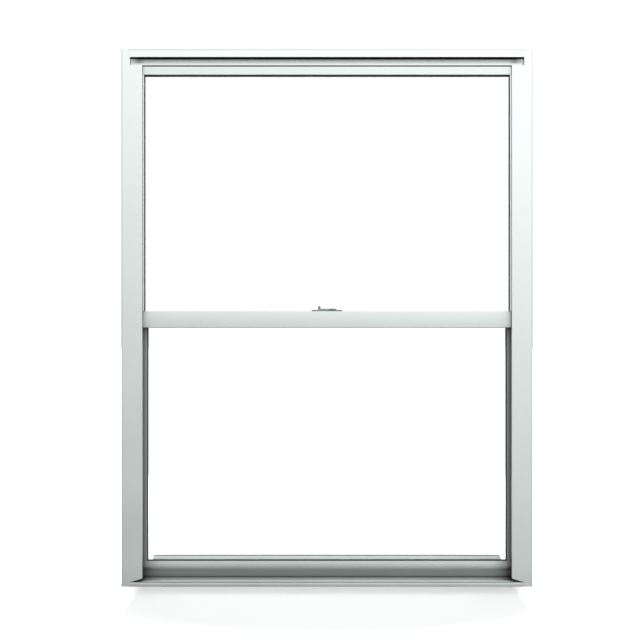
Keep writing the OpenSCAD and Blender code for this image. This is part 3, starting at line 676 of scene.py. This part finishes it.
class Finishes:
    """All the finishes of the window, each built once."""

    def __init__(self) -> None:
        """Builds every material."""
        meeting_low, meeting_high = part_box("fixed_meeting_rail")
        bead_low, bead_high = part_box("fixed_bead_top")
        rail_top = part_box("sash_bottom_rail")[1].z
        self.upright = DrawnMetal("Satin aluminium, upright", Grain.UPRIGHT).build()
        self.across = DrawnMetal("Satin aluminium, across", Grain.ACROSS).build()
        # The head gets painted shade in the recess under its flange, fading toward the ends, and
        # a darker upper edge.
        self.head = ShelteredMetal(
            "Satin aluminium, head", Grain.ACROSS, reach=30.0 * MM, shade_strength=0.92,
            shade_low_z=bead_high.z - 1.0 * MM, clean_x=HALF_OPENING + 9.0 * MM,
            edge_z=CAD_BOX[1].z - 4.5 * MM).build()
        # The jambs' outermost 2.8 mm are darkened: painted shade on the flange's outer edge.
        self.jamb = EndedMetal(
            "Satin aluminium, jambs", Grain.UPRIGHT, clean_x=HALF_WIDTH - 2.8 * MM,
            dark_x=HALF_WIDTH - 1.0 * MM, end_darkness=0.35).build()
        # The sill's ledge is darkened toward its ends with painted shade, above the nose only.
        self.sill = EndedMetal(
            "Satin aluminium, sill", Grain.ACROSS, reach=50.0 * MM, fade=1.0,
            shade_depth=-30.0 * MM, crown=10.0, crown_z=5.5 * MM, crown_y=-33.0 * MM,
            clean_x=HALF_OPENING - 9.0 * MM, dark_x=HALF_OPENING + 5.0 * MM,
            end_darkness=0.92, above=9.4 * MM).build()
        # A lighter tone with painted shade above and below a band stands for a highlight across
        # the bottom rail; its lip carries a painted reflection and a painted shaded rim.
        self.low_rail = LiftRailMetal(
            "Satin aluminium, bottom rail", Grain.ACROSS, (0.9, 0.955, 0.932),
            (0.85, 0.905, 0.882), fade=0.58, crown=0.85, crown_z=rail_top - 25.0 * MM,
            band_z=rail_top - 20.0 * MM, plain=0.6 * MM, spread=10.8 * MM, band_shade=0.4,
            haze=0.2, lip_y=ROOM_FACE - 5.5 * MM, rim_z=rail_top - 2.4 * MM).build()
        self.meeting_rail = DrawnMetal(
            "Satin aluminium, meeting rail", Grain.ACROSS, crown=0.8,
            crown_z=(meeting_low.z + meeting_high.z) / 2 + 2.0 * MM).build()
        # The top bead's darker tone is painted shade, and a painted shade line runs along its top
        # edge.
        self.top_bead = ShadeBandedMetal(
            "Satin aluminium, top bead", Grain.ACROSS, (0.655, 0.7, 0.682),
            (0.616, 0.661, 0.643), band_z=bead_low.z + 7.5 * MM, plain=9.8 * MM,
            spread=10.6 * MM, band_shade=0.95).build()
        self.glass = FloatGlass("Clear float glass").build()
        self.rubber = PlainSurface(
            "Black glazing rubber", (0.03, 0.032, 0.033), (0.017, 0.018, 0.019),
            0.5, 0.68, scale=500.0, relief=0.05 * MM).build()
        self.spacer = PlainSurface(
            "Spacer bar and edge seal", (0.075, 0.08, 0.08), (0.045, 0.048, 0.05),
            0.42, 0.55, metallic=0.3).build()
        self.steel = PlainSurface(
            "Zinc-plated steel", (0.74, 0.75, 0.75), (0.58, 0.59, 0.6),
            0.22, 0.36, metallic=1.0, scale=900.0).build()
        self.casting = PlainSurface(
            "Dark satin die casting", (0.06, 0.066, 0.064), (0.045, 0.05, 0.049),
            0.38, 0.5, metallic=0.3, scale=1200.0, relief=0.03 * MM).build()
        self.vinyl = PlainSurface(
            "White vinyl", (0.86, 0.87, 0.85), (0.82, 0.83, 0.81),
            0.34, 0.44, scale=300.0, coat=0.15).build()
        self.nylon = PlainSurface(
            "Natural nylon", (0.84, 0.82, 0.75), (0.78, 0.76, 0.69),
            0.42, 0.55, scale=450.0).build()
        self.pile = PlainSurface(
            "Grey pile", (0.27, 0.28, 0.285), (0.13, 0.135, 0.14),
            0.85, 0.95, scale=1500.0, sheen=0.4).build()
        # Near-black blocks stand for the spacer's perforations: painted shade in place of the
        # holes.
        self.pit = PlainSurface(
            "Perforation", (0.012, 0.012, 0.012), (0.006, 0.006, 0.006),
            0.8, 0.9).build()


# ------------------------------------------------------------------ meshes


def put(name: str, data: Any) -> bpy.types.Object:
    """Puts a mesh, a lamp or a camera into the scene."""
    thing = bpy.data.objects.new(name, data)
    bpy.context.scene.collection.objects.link(thing)
    return thing


def closed_mesh(name: str, solid: bmesh.types.BMesh) -> Mesh:
    """Writes a working mesh to a new plain one and frees it."""
    mesh = bpy.data.meshes.new(name)
    solid.to_mesh(mesh)
    solid.free()
    return mesh


def dress(node: str, material: Material) -> None:
    """Gives a CAD node its material.

    Args:
        node: the node's name.
        material: its finish.
    """
    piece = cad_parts[node]
    piece.data.materials.clear()
    piece.data.materials.append(material)
    LOG.info("dressed %s in %s", node, material.name)


def show(name: str, mesh: Mesh, material: Material, body: str,
         stands_for: Sequence[str] = ()) -> bpy.types.Object:
    """Adds a finished mesh to the window.

    Args:
        name: the piece's name.
        mesh: its mesh, already in place.
        material: its finish.
        body: the body it moves with.
        stands_for: CAD nodes that it replaces.

    Returns:
        The new object.
    """
    mesh.materials.clear()
    mesh.materials.append(material)
    piece = put(name, mesh)
    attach(piece, body)
    if stands_for:
        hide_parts(*stands_for)
    LOG.info("built %s: %d faces, on %s", name, len(mesh.polygons), body)
    return piece


def turn(edge: bmesh.types.BMEdge) -> float:
    """Returns how far the surface turns over an edge, in degrees."""
    return math.degrees(edge.calc_face_angle(0.0)) if edge.is_manifold else 0.0


@dataclass(frozen=True)
class Rounding:
    """How the sharp edges of a solid are taken off.

    Args:
        width: width of the rounding, in metres.
        longer_than: edges shorter than this are left, in metres.
        sharper_than: edges turning less than this are left, in degrees.
        steps: number of faces across it.
        weld: points nearer than this become one, in metres.
        level: faces that turn less than this become one, in degrees.
        flat: faces that turn less than this still meet as flat ones, in degrees.
        creased: edges turning less than this look smooth, in degrees.
    """

    width: float
    longer_than: float = 12.0 * MM
    sharper_than: float = 40.0
    steps: int = 3
    weld: float = 0.002 * MM
    level: float = 0.4
    flat: float = 1.0
    creased: float = 30.0

    def wants(self, edge: bmesh.types.BMEdge) -> bool:
        """True if this edge is rounded."""
        return edge.calc_length() > self.longer_than and turn(edge) > self.sharper_than

    def mesh_of(self, node: str) -> Mesh:
        """Makes a rounded copy of a CAD node's mesh.

        Args:
            node: the node's name.

        Returns:
            A new mesh in the same place.
        """
        solid = bmesh.new()
        solid.from_mesh(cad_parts[node].data)
        bmesh.ops.remove_doubles(solid, verts=solid.verts, dist=self.weld)
        bmesh.ops.dissolve_limit(solid, angle_limit=math.radians(self.level),
                                 verts=solid.verts, edges=solid.edges)
        curved = set()
        for edge in solid.edges:
            if self.flat < turn(edge) < self.creased:
                curved.update(edge.link_faces)
        for face in solid.faces:
            face.smooth = face in curved
        chosen = [edge for edge in solid.edges if self.wants(edge)]
        bmesh.ops.bevel(solid, geom=chosen, offset=self.width, segments=self.steps,
                        profile=0.5, affect="EDGES", clamp_overlap=True)
        for edge in solid.edges:
            edge.smooth = turn(edge) <= self.creased
        return closed_mesh(node + "_rounded", solid)


EXTRUSION = Rounding(0.35 * MM)
BEAD = Rounding(0.3 * MM)
SEAL = Rounding(0.6 * MM)
CASTING = Rounding(0.5 * MM, longer_than=0.6 * MM)


def round_off(node: str, how: Rounding, material: Material, body: str) -> None:
    """Replaces a CAD node with its rounded copy in this finish."""
    show(node + "_rounded", how.mesh_of(node), material, body, (node,))


def joined(name: str, meshes: Sequence[Mesh]) -> Mesh:
    """Joins meshes that are already in place.

    Args:
        name: the joined mesh's name.
        meshes: what goes into it.

    Returns:
        One mesh.
    """
    together = bmesh.new()
    for mesh in meshes:
        together.from_mesh(mesh)
        bpy.data.meshes.remove(mesh)
    return closed_mesh(name, together)


def block_mesh(name: str, low: Vector, high: Vector) -> Mesh:
    """Returns the mesh of a block between two corners."""
    solid = bmesh.new()
    bmesh.ops.create_cube(solid, size=1.0)
    middle, size = (low + high) / 2, high - low
    bmesh.ops.transform(solid, verts=solid.verts, matrix=Matrix.Translation(middle)
                        @ Matrix.Diagonal((*size, 1.0)))
    return closed_mesh(name, solid)


# ---------------------------------------------------------- geometry nodes


class Pattern:
    """A Geometry Nodes tree with named sizes, baked to plain meshes."""

    def __init__(self, name: str, sizes: Sequence[tuple[str, str, Any]]) -> None:
        """Makes the tree and its inputs.

        Args:
            name: the tree's name.
            sizes: name, kind and first value of each input.
        """
        self.tree = bpy.data.node_groups.new(name, "GeometryNodeTree")
        shape = ("Geometry", "Geometry", None)
        open_sockets(self.tree, "INPUT", (shape, *sizes, ("Material", "Material", None)))
        open_sockets(self.tree, "OUTPUT", (shape,))
        self.graph = Graph(self.tree)
        self.given = self.graph.add("NodeGroupInput").outputs

    def end(self, geometry: Socket) -> None:
        """Closes the tree with Realize Instances and Set Material."""
        real = self.graph.add("GeometryNodeRealizeInstances", {"Geometry": geometry})
        dressed = self.graph.add("GeometryNodeSetMaterial",
                                 {"Geometry": real.outputs[0],
                                  "Material": self.given["Material"]})
        self.graph.add("NodeGroupOutput", {"Geometry": dressed.outputs[0]})

    def bake(self, name: str, place: Matrix, **sizes: Any) -> Mesh:
        """Runs the tree with these sizes.

        Args:
            name: the mesh's name.
            place: where the result goes in the window's frame.
            sizes: the inputs' values, with _ for a space.

        Returns:
            A plain mesh in its place.
        """
        host = put(name + "_host", bpy.data.meshes.new(name + "_host"))
        modifier = host.modifiers.new("Pattern", "NODES")
        modifier.node_group = self.tree
        wanted = spaced(sizes)
        for item in self.tree.interface.items_tree:
            if item.in_out == "INPUT" and item.name in wanted:
                modifier[item.identifier] = wanted[item.name]
        graph = bpy.context.evaluated_depsgraph_get()
        mesh = bpy.data.meshes.new_from_object(host.evaluated_get(graph), depsgraph=graph)
        mesh.name = name
        mesh.transform(place)
        bpy.data.objects.remove(host)
        return mesh


def fibre_pattern() -> Pattern:
    """Tufts of pile standing on a strip that runs along X."""
    pattern = Pattern("Pile fibres", (
        ("Length", "Float", 500.0 * MM), ("Width", "Float", 2.5 * MM),
        ("Rows", "Int", 3), ("Pitch", "Float", 1.2 * MM), ("Fibre", "Float", 5.0 * MM),
        ("Thickness", "Float", 0.4 * MM), ("Taper", "Float", 0.55),
        ("Lean", "Float", 0.12), ("Twist", "Float", 3.1), ("Shortest", "Float", 0.84),
        ("Seed", "Int", 7)))
    graph, given = pattern.graph, pattern.given
    count = graph.math("DIVIDE", given["Length"], given["Pitch"])
    grid = graph.add("GeometryNodeMeshGrid",
                     {"Size X": given["Length"], "Size Y": given["Width"],
                      "Vertices X": count, "Vertices Y": given["Rows"]})
    back, untwist = (graph.product(given[name], -1.0) for name in ("Lean", "Twist"))
    least = graph.add("ShaderNodeCombineXYZ", {0: back, 1: back, 2: untwist})
    most = graph.add("ShaderNodeCombineXYZ",
                     {0: given["Lean"], 1: given["Lean"], 2: given["Twist"]})
    lean = graph.add("FunctionNodeRandomValue",
                     {0: least.outputs[0], 1: most.outputs[0], "Seed": given["Seed"]},
                     data_type="FLOAT_VECTOR")
    tall = graph.add("FunctionNodeRandomValue",
                     {2: given["Shortest"], 3: 1.0, "Seed": given["Seed"]},
                     data_type="FLOAT")
    tip = graph.product(given["Thickness"], given["Taper"])
    fibre = graph.add("GeometryNodeMeshCone",
                      {"Vertices": 4, "Radius Top": tip,
                       "Radius Bottom": given["Thickness"], "Depth": given["Fibre"]})
    stand = graph.add("GeometryNodeInstanceOnPoints",
                      {"Points": grid.outputs[0], "Instance": fibre.outputs[0],
                       "Rotation": lean.outputs[0], "Scale": tall.outputs[1]})
    pattern.end(stand.outputs[0])
    return pattern


def coil_pattern() -> Pattern:
    """A close-wound spring of flat wire standing along Z."""
    pattern = Pattern("Coil spring", (
        ("Length", "Float", 500.0 * MM), ("Turns", "Float", 300.0),
        ("Radius", "Float", 3.7 * MM), ("Wire Width", "Float", 0.7 * MM),
        ("Wire Height", "Float", 1.1 * MM)))
    graph, given = pattern.graph, pattern.given
    helix = graph.add("GeometryNodeCurveSpiral",
                      {"Resolution": 14, "Rotations": given["Turns"],
                       "Start Radius": given["Radius"], "End Radius": given["Radius"],
                       "Height": given["Length"]})
    upright = graph.add("GeometryNodeSetCurveNormal", {"Curve": helix.outputs[0]}, mode="Z_UP")
    wire = graph.add("GeometryNodeCurvePrimitiveQuadrilateral",
                     {"Width": given["Wire Width"], "Height": given["Wire Height"]})
    swept = graph.add("GeometryNodeCurveToMesh",
                      {"Curve": upright.outputs[0], "Profile Curve": wire.outputs[0],
                       "Fill Caps": True})
    pattern.end(swept.outputs[0])
    return pattern


def row_pattern() -> Pattern:
    """A row of small blocks: perforations and grip ribs."""
    pattern = Pattern("Row of blocks", (
        ("Count", "Int", 10), ("Start", "Vector", None), ("Step", "Vector", None),
        ("Size", "Vector", None)))
    graph, given = pattern.graph, pattern.given
    line = graph.add("GeometryNodeMeshLine",
                     {"Count": given["Count"], "Start Location": given["Start"],
                      "Offset": given["Step"]}, mode="OFFSET")
    block = graph.add("GeometryNodeMeshCube", {"Size": given["Size"]})
    placed = graph.add("GeometryNodeInstanceOnPoints",
                       {"Points": line.outputs[0], "Instance": block.outputs[0]})
    pattern.end(placed.outputs[0])
    return pattern


FIBRES = fibre_pattern()
COIL = coil_pattern()
ROW = row_pattern()


# ----------------------------------------------------------- sub-assemblies


@dataclass
class Assembly:
    """A part of the window that is dressed in its finishes.

    Args:
        finishes: the window's finishes.
    """

    finishes: Finishes


class OuterFrame(Assembly):
    """Head, sill, jambs and the fixed meeting rail, with what joins them."""

    def build(self) -> None:
        """Builds and dresses the frame."""
        kit = self.finishes
        for node, finish in (("head", kit.head), ("sill", kit.sill),
                             ("fixed_meeting_rail", kit.meeting_rail)):
            round_off(node, EXTRUSION, finish, "frame")
        for side in Side:
            round_off(f"{side.value}_jamb", EXTRUSION, kit.jamb, "frame")
            dress(f"travel_stop_{side.value}", kit.nylon)
        for node in ("frame_screws", "stop_screws", "hanger_screws"):
            dress(node, kit.steel)
        dress("interlock_seal", kit.pile)


@dataclass
class InsulatingUnit(Assembly):
    """Two panes and their spacer, with the spacer's perforations.

    Args:
        prefix: start of its nodes' names.
        body: the body it moves with.
        pitch: distance between perforations, in metres.
        slit: length, depth and width of one perforation, in metres.
        wall: width of the spacer and its seal, in metres.
    """

    prefix: str
    body: str
    pitch: float = 5.0 * MM
    slit: Triple = (1.8 * MM, 0.5 * MM, 0.06 * MM)
    wall: float = 9.3 * MM

    def build(self) -> None:
        """Dresses the glass and adds the perforations."""
        dress(f"{self.prefix}_outer_pane", self.finishes.glass)
        dress(f"{self.prefix}_inner_pane", self.finishes.glass)
        dress(f"{self.prefix}_spacer", self.finishes.spacer)
        show(f"{self.prefix}_perforations", self.perforations(), self.finishes.pit,
             self.body)

    def perforations(self) -> Mesh:
        """Returns the slits along the spacer's four inner faces."""
        low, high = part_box(f"{self.prefix}_spacer")
        inset = Vector((self.wall, 0.0, self.wall))
        low, high = low + inset, high - inset
        middle_y = (low.y + high.y) / 2
        length, depth, width = self.slit
        across = {"Count": int((high.x - low.x) / self.pitch),
                  "Step": (self.pitch, 0.0, 0.0), "Size": (length, depth, width)}
        tall = {"Count": int((high.z - low.z) / self.pitch),
                "Step": (0.0, 0.0, self.pitch), "Size": (width, depth, length)}
        first_x, first_z = low.x + self.pitch / 2, low.z + self.pitch / 2
        rows = [ROW.bake("slits", IN_PLACE, Start=(x, middle_y, z),
                         Material=self.finishes.pit, **run)
                for x, z, run in ((first_x, low.z, across), (first_x, high.z, across),
                                  (low.x, first_z, tall), (high.x, first_z, tall))]
        return joined(f"{self.prefix}_perforations", rows)


class FixedLight(Assembly):
    """The upper light: glass, beads and gaskets."""

    def build(self) -> None:
        """Builds and dresses the fixed light."""
        kit = self.finishes
        InsulatingUnit(kit, "fixed", "frame").build()
        round_off("fixed_bead_top", BEAD, kit.top_bead, "frame")
        for side in Side:
            round_off(f"fixed_bead_{side.value}", BEAD, kit.upright, "frame")
        round_off("fixed_front_gasket", SEAL, kit.rubber, "frame")
        dress("fixed_back_tape", kit.rubber)
        dress("fixed_setting_blocks", kit.rubber)


@dataclass
class PileStrips(Assembly):
    """The two pile strips of one stile: a backing each, with its fibres.

    Args:
        side: which stile.
        seat: how deep the backing sits in the stile, in metres.
        backing: thickness of the backing, in metres.
        width: width that the fibres cover, in metres.
        bare_end: length without fibres at each end, in metres.
        rows: rows of fibres.
        pitch: distance between the fibres of a row, in metres.
        reach: share of the strip's height that the fibres reach.
        thickness: a fibre's radius at its root, in metres.
        lean: how far a fibre leans, in radians.
        seed: the fibres' random seed, which each strip moves by one.
    """

    side: Side
    seat: float = 1.2 * MM
    backing: float = 1.1 * MM
    width: float = 2.2 * MM
    bare_end: float = 1.0 * MM
    rows: int = 3
    pitch: float = 1.3 * MM
    reach: float = 0.99
    thickness: float = 0.42 * MM
    lean: float = 0.06
    seed: int = 11

    def build(self) -> None:
        """Builds both strips as one piece."""
        node = f"{self.side.value}_stile_pile"
        low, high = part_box(node)
        stile_low, stile_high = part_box(f"sash_{self.side.value}_stile")
        parts = [*self.strip(-1, low.y, stile_low.y, low, high),
                 *self.strip(1, high.y, stile_high.y, low, high)]
        show(f"{node}_fibres", joined(f"{node}_fibres", parts), self.finishes.pile,
             "sash", (node,))

    def strip(self, facing: int, tip: float, face: float, low: Vector,
              high: Vector) -> tuple[Mesh, Mesh]:
        """Builds one strip.

        Args:
            facing: -1 toward the weather, 1 toward the room.
            tip: the Y value that the fibres reach.
            face: the Y value of the stile's face.
            low: the lower corner of both strips.
            high: their upper corner.

        Returns:
            The backing and the fibres.
        """
        root = face - facing * self.seat
        first, last = sorted((root, root - facing * self.backing))
        backing = block_mesh("backing", Vector((low.x, first, low.z)),
                             Vector((high.x, last, high.z)))
        turned = Matrix(((0, facing, 0, (low.x + high.x) / 2), (0, 0, facing, root),
                         (1, 0, 0, (low.z + high.z) / 2), (0, 0, 0, 1)))
        fibres = FIBRES.bake(
            "fibres", turned, Length=high.z - low.z - 2 * self.bare_end,
            Width=self.width, Rows=self.rows, Pitch=self.pitch,
            Fibre=abs(tip - root) * self.reach, Thickness=self.thickness,
            Lean=self.lean, Seed=self.seed + facing, Material=self.finishes.pile)
        return backing, fibres


class SlidingSash(Assembly):
    """The lower sash: rails, stiles, glass, beads and weather strips."""

    def build(self) -> None:
        """Builds and dresses the sash."""
        kit = self.finishes
        InsulatingUnit(kit, "sash", "sash").build()
        round_off("sash_top_rail", EXTRUSION, kit.across, "sash")
        round_off("sash_bottom_rail", EXTRUSION, kit.low_rail, "sash")
        for node in ("sash_bead_top", "sash_bead_bottom"):
            round_off(node, BEAD, kit.across, "sash")
        for side in Side:
            round_off(f"sash_{side.value}_stile", EXTRUSION, kit.upright, "sash")
            round_off(f"sash_bead_{side.value}", BEAD, kit.upright, "sash")
            PileStrips(kit, side).build()
        for node in ("sash_front_gasket", "sash_back_gasket"):
            round_off(node, EXTRUSION, kit.rubber, "sash")
        for node in ("sash_setting_blocks", "sill_bulb_seal"):
            dress(node, kit.rubber)
        dress("sash_screws", kit.steel)


@dataclass
class SpiralBalances(Assembly):
    """Both spiral balances: tubes, plugs, springs, drive nuts, rods and brackets.

    Args:
        pitch: distance from one turn of a spring to the next, in metres.
        radius: the wire's distance from the spring's axis, in metres.
        wire: width and height of the spring's wire, in metres.
        end: length left free at each end of a spring, in metres.
    """

    pitch: float = 1.1 * MM
    radius: float = 3.8 * MM
    wire: Pair = (0.6 * MM, 0.9 * MM)
    end: float = 0.7 * MM

    def build(self) -> None:
        """Builds and dresses the balances."""
        kit = self.finishes
        for side in Side:
            dress(f"balance_tube_{side.value}", kit.vinyl)
            dress(f"drive_nut_{side.value}", kit.nylon)
            dress(f"balance_rod_{side.value}", kit.steel)
            dress(f"rod_bracket_{side.value}", kit.steel)
            self.spring(side)
        dress("balance_plugs", kit.vinyl)
        dress("bracket_screws", kit.steel)

    def spring(self, side: Side) -> None:
        """Winds the torsion spring of one side."""
        kit, node = self.finishes, f"balance_spring_{side.value}"
        low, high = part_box(node)
        middle = (low + high) / 2
        length = high.z - low.z - 2 * self.end
        place = Matrix.Translation((middle.x, middle.y, low.z + self.end))
        mesh = COIL.bake(node + "_coil", place, Length=length,
                         Turns=length / self.pitch, Radius=self.radius,
                         Wire_Width=self.wire[0], Wire_Height=self.wire[1],
                         Material=kit.steel)
        show(node + "_coil", mesh, kit.steel, "frame", (node,))


@dataclass
class SweepLock(Assembly):
    """The sash lock on the meeting rail.

    Args:
        ribs: number of grip ribs on each face of the lever's tab.
        rise: distance between the ribs, in metres.
        rib: thickness, length and height of a rib, in metres.
        tab: thickness of the finger tab, in metres.
        below_top: distance from the tab's top to its ribs' middle, in metres.
    """

    ribs: int = 5
    rise: float = 0.9 * MM
    rib: Triple = (0.3 * MM, 9.5 * MM, 0.4 * MM)
    tab: float = 5.8 * MM
    below_top: float = 3.2 * MM

    def build(self) -> None:
        """Builds and dresses the lock."""
        kit = self.finishes
        round_off("lock_base", CASTING, kit.casting, "sash")
        round_off("lock_lever", CASTING, kit.casting, "lock_lever")
        dress("lock_cam", kit.casting)
        dress("lock_spindle", kit.steel)
        dress("lock_screws", kit.steel)
        self.grip()

    def grip(self) -> None:
        """Builds the grip ribs on both faces of the finger tab."""
        low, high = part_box("lock_lever")
        lowest = high.z - self.below_top - (self.ribs // 2) * self.rise
        faces = [ROW.bake("ribs", IN_PLACE, Count=self.ribs,
                          Start=(x, (low.y + high.y) / 2, lowest),
                          Step=(0.0, 0.0, self.rise), Size=self.rib,
                          Material=self.finishes.casting)
                 for x in (low.x, low.x + self.tab)]
        show("lever_grip_ribs", joined("lever_grip_ribs", faces),
             self.finishes.casting, "lock_lever")


@dataclass(frozen=True)
class Softbox:
    """A rectangular light aimed at the window's middle.

    Args:
        name: the light's name.
        place: where it hangs, in metres.
        size: its width and height, in metres.
        power: its power in watts.
        hidden: True if it only lights and is never seen or mirrored.
        aim: the point that it faces, in metres.
    """

    name: str
    place: Triple
    size: Pair
    power: float
    hidden: bool = False
    aim: Triple = (0.0, 0.0, 0.6)

    def hang(self) -> None:
        """Hangs the light in the scene."""
        data = bpy.data.lights.new(self.name, "AREA")
        data.shape = "RECTANGLE"
        data.size, data.size_y = self.size
        data.energy = self.power
        lamp = put(self.name, data)
        lamp.location = self.place
        facing = Vector(self.aim) - Vector(self.place)
        lamp.rotation_euler = facing.to_track_quat("-Z", "Y").to_euler()
        for ray in ("camera", "glossy", "transmission") if self.hidden else ():
            setattr(lamp, "visible_" + ray, False)


@dataclass(frozen=True)
class Ramp:
    """A brightness that changes evenly between two places.

    Args:
        start: the place where it begins to change.
        end: the place where it stops.
        low: the brightness up to the start.
        high: the brightness from the end on.
    """

    start: float
    end: float
    low: float
    high: float

    def of(self, graph: Graph, place: Socket) -> Socket:
        """Returns the brightness at a place, as a socket of this graph."""
        return graph.remap(place, self.low, self.high, self.start, self.end)


@dataclass
class Studio:
    """Camera, lights, floor and surroundings.

    Args:
        distance: camera to the window's weather face, in metres.
        eye_x: the camera's place across, in metres.
        eye_z: the camera's height, in metres.
        view_width: width seen at the weather face, in metres.
        softboxes: the lights.
        floor_size: half the floor's width, in metres.
        ahead: the floor's paleness by distance from the window's foot, in metres; it is darker
            near the foot, where the cast shadow falls.
        beside: its paleness by distance to either side, in metres; painted lighter beside the
            frame, a painted light that hides the cast shadow there.
        mirrored: how bright metal mirrors it, from left to right in metres.
        mirrored_tone: the colour in which metal mirrors it.
        upward: how bright metal mirrors the surroundings, from low to high.
        across: the same from left to right.
        seen_level: their brightness where they are seen directly or through glass.
    """

    distance: float = 3.5
    eye_x: float = -0.0156
    eye_z: float = 0.5928
    view_width: float = 1.42259
    softboxes: tuple[Softbox, ...] = (
        Softbox("Key softbox", (-0.5, -2.6, 2.8), (2.6, 2.0), 6.0),
        Softbox("Back softbox", (0.0, 2.4, 1.12), (4.0, 0.4), 105.0, hidden=True))
    floor_size: float = 30.0
    ahead: Ramp = Ramp(0.5, 1.2, 0.5, 0.85)
    beside: Ramp = Ramp(HALF_OPENING - 1.0 * MM, HALF_WIDTH - 5.0 * MM, 0.5, 1.0)
    mirrored: Ramp = Ramp(-0.7, 0.7, 0.84, 1.2)
    mirrored_tone: Colour = (0.3, 0.31, 0.31)
    upward: Ramp = Ramp(-0.278, 0.125, 0.21, 1.65)
    across: Ramp = Ramp(-0.4, 0.4, 0.63, 1.4)
    seen_level: float = 1.06

    def build(self) -> None:
        """Builds the studio."""
        self.camera()
        self.floor()
        self.surroundings()
        for softbox in self.softboxes:
            softbox.hang()

    def camera(self) -> None:
        """Places the camera square to the weather face."""
        data = bpy.data.cameras.new("Camera")
        data.sensor_width = 36.0
        data.lens = data.sensor_width * self.distance / self.view_width
        camera = put("Camera", data)
        camera.location = (self.eye_x, WEATHER_FACE - self.distance, self.eye_z)
        camera.rotation_euler = (math.radians(90.0), 0.0, 0.0)
        bpy.context.scene.camera = camera
        bpy.context.scene.view_settings.view_transform = "Standard"

    def floor(self) -> None:
        """Lays the pale floor, which metal mirrors as a dim one."""
        solid = bmesh.new()
        bmesh.ops.create_grid(solid, x_segments=1, y_segments=1, size=self.floor_size)
        mesh = closed_mesh("Floor", solid)
        material, graph = new_material("Pale floor")
        coordinates = graph.coordinates()
        across = graph.parts(coordinates)["X"]
        away = graph.add("ShaderNodeVectorMath", {0: coordinates}, operation="LENGTH")
        # Painted light: the floor is made paler beside the frame, which hides the cast shadow
        # there.
        pale = graph.math("MAXIMUM", self.ahead.of(graph, away.outputs["Value"]),
                          self.beside.of(graph, graph.math("ABSOLUTE", across)))
        matt = graph.add("ShaderNodeBsdfDiffuse", {"Color": pale})
        dim = graph.add("ShaderNodeEmission", {
            "Color": self.mirrored_tone, "Strength": self.mirrored.of(graph, across)})
        path = graph.add("ShaderNodeLightPath").outputs
        direct = graph.math("SUBTRACT", 1.0, path["Is Transmission Ray"])
        graph.surface(matt, dim, graph.product(path["Is Glossy Ray"], direct))
        mesh.materials.append(material)
        put("Floor", mesh)

    def surroundings(self) -> None:
        """Makes the white surroundings, which metal mirrors dimmer below and left."""
        world = bpy.data.worlds.new("Studio")
        bpy.context.scene.world = world
        world.use_nodes = True
        world.node_tree.nodes.clear()
        graph = Graph(world.node_tree)
        direction = graph.parts(graph.coordinates("Generated"))
        level = graph.product(self.upward.of(graph, direction["Z"]),
                              self.across.of(graph, direction["X"]))
        path = graph.add("ShaderNodeLightPath").outputs
        seen = graph.math("MAXIMUM", path["Is Camera Ray"], path["Is Transmission Ray"])
        strength = graph.between(seen, level, self.seen_level)
        background = graph.add("ShaderNodeBackground", {
            "Color": (1.0, 1.0, 1.0), "Strength": strength})
        graph.add("ShaderNodeOutputWorld", {"Surface": background.outputs[0]})


def main() -> None:
    """Builds the whole window in order."""
    logging.basicConfig(level=logging.INFO, format="%(name)s: %(message)s")
    finishes = Finishes()
    Studio().build()
    OuterFrame(finishes).build()
    FixedLight(finishes).build()
    SlidingSash(finishes).build()
    SpiralBalances(finishes).build()
    SweepLock(finishes).build()


if __name__ == "__main__":
    main()
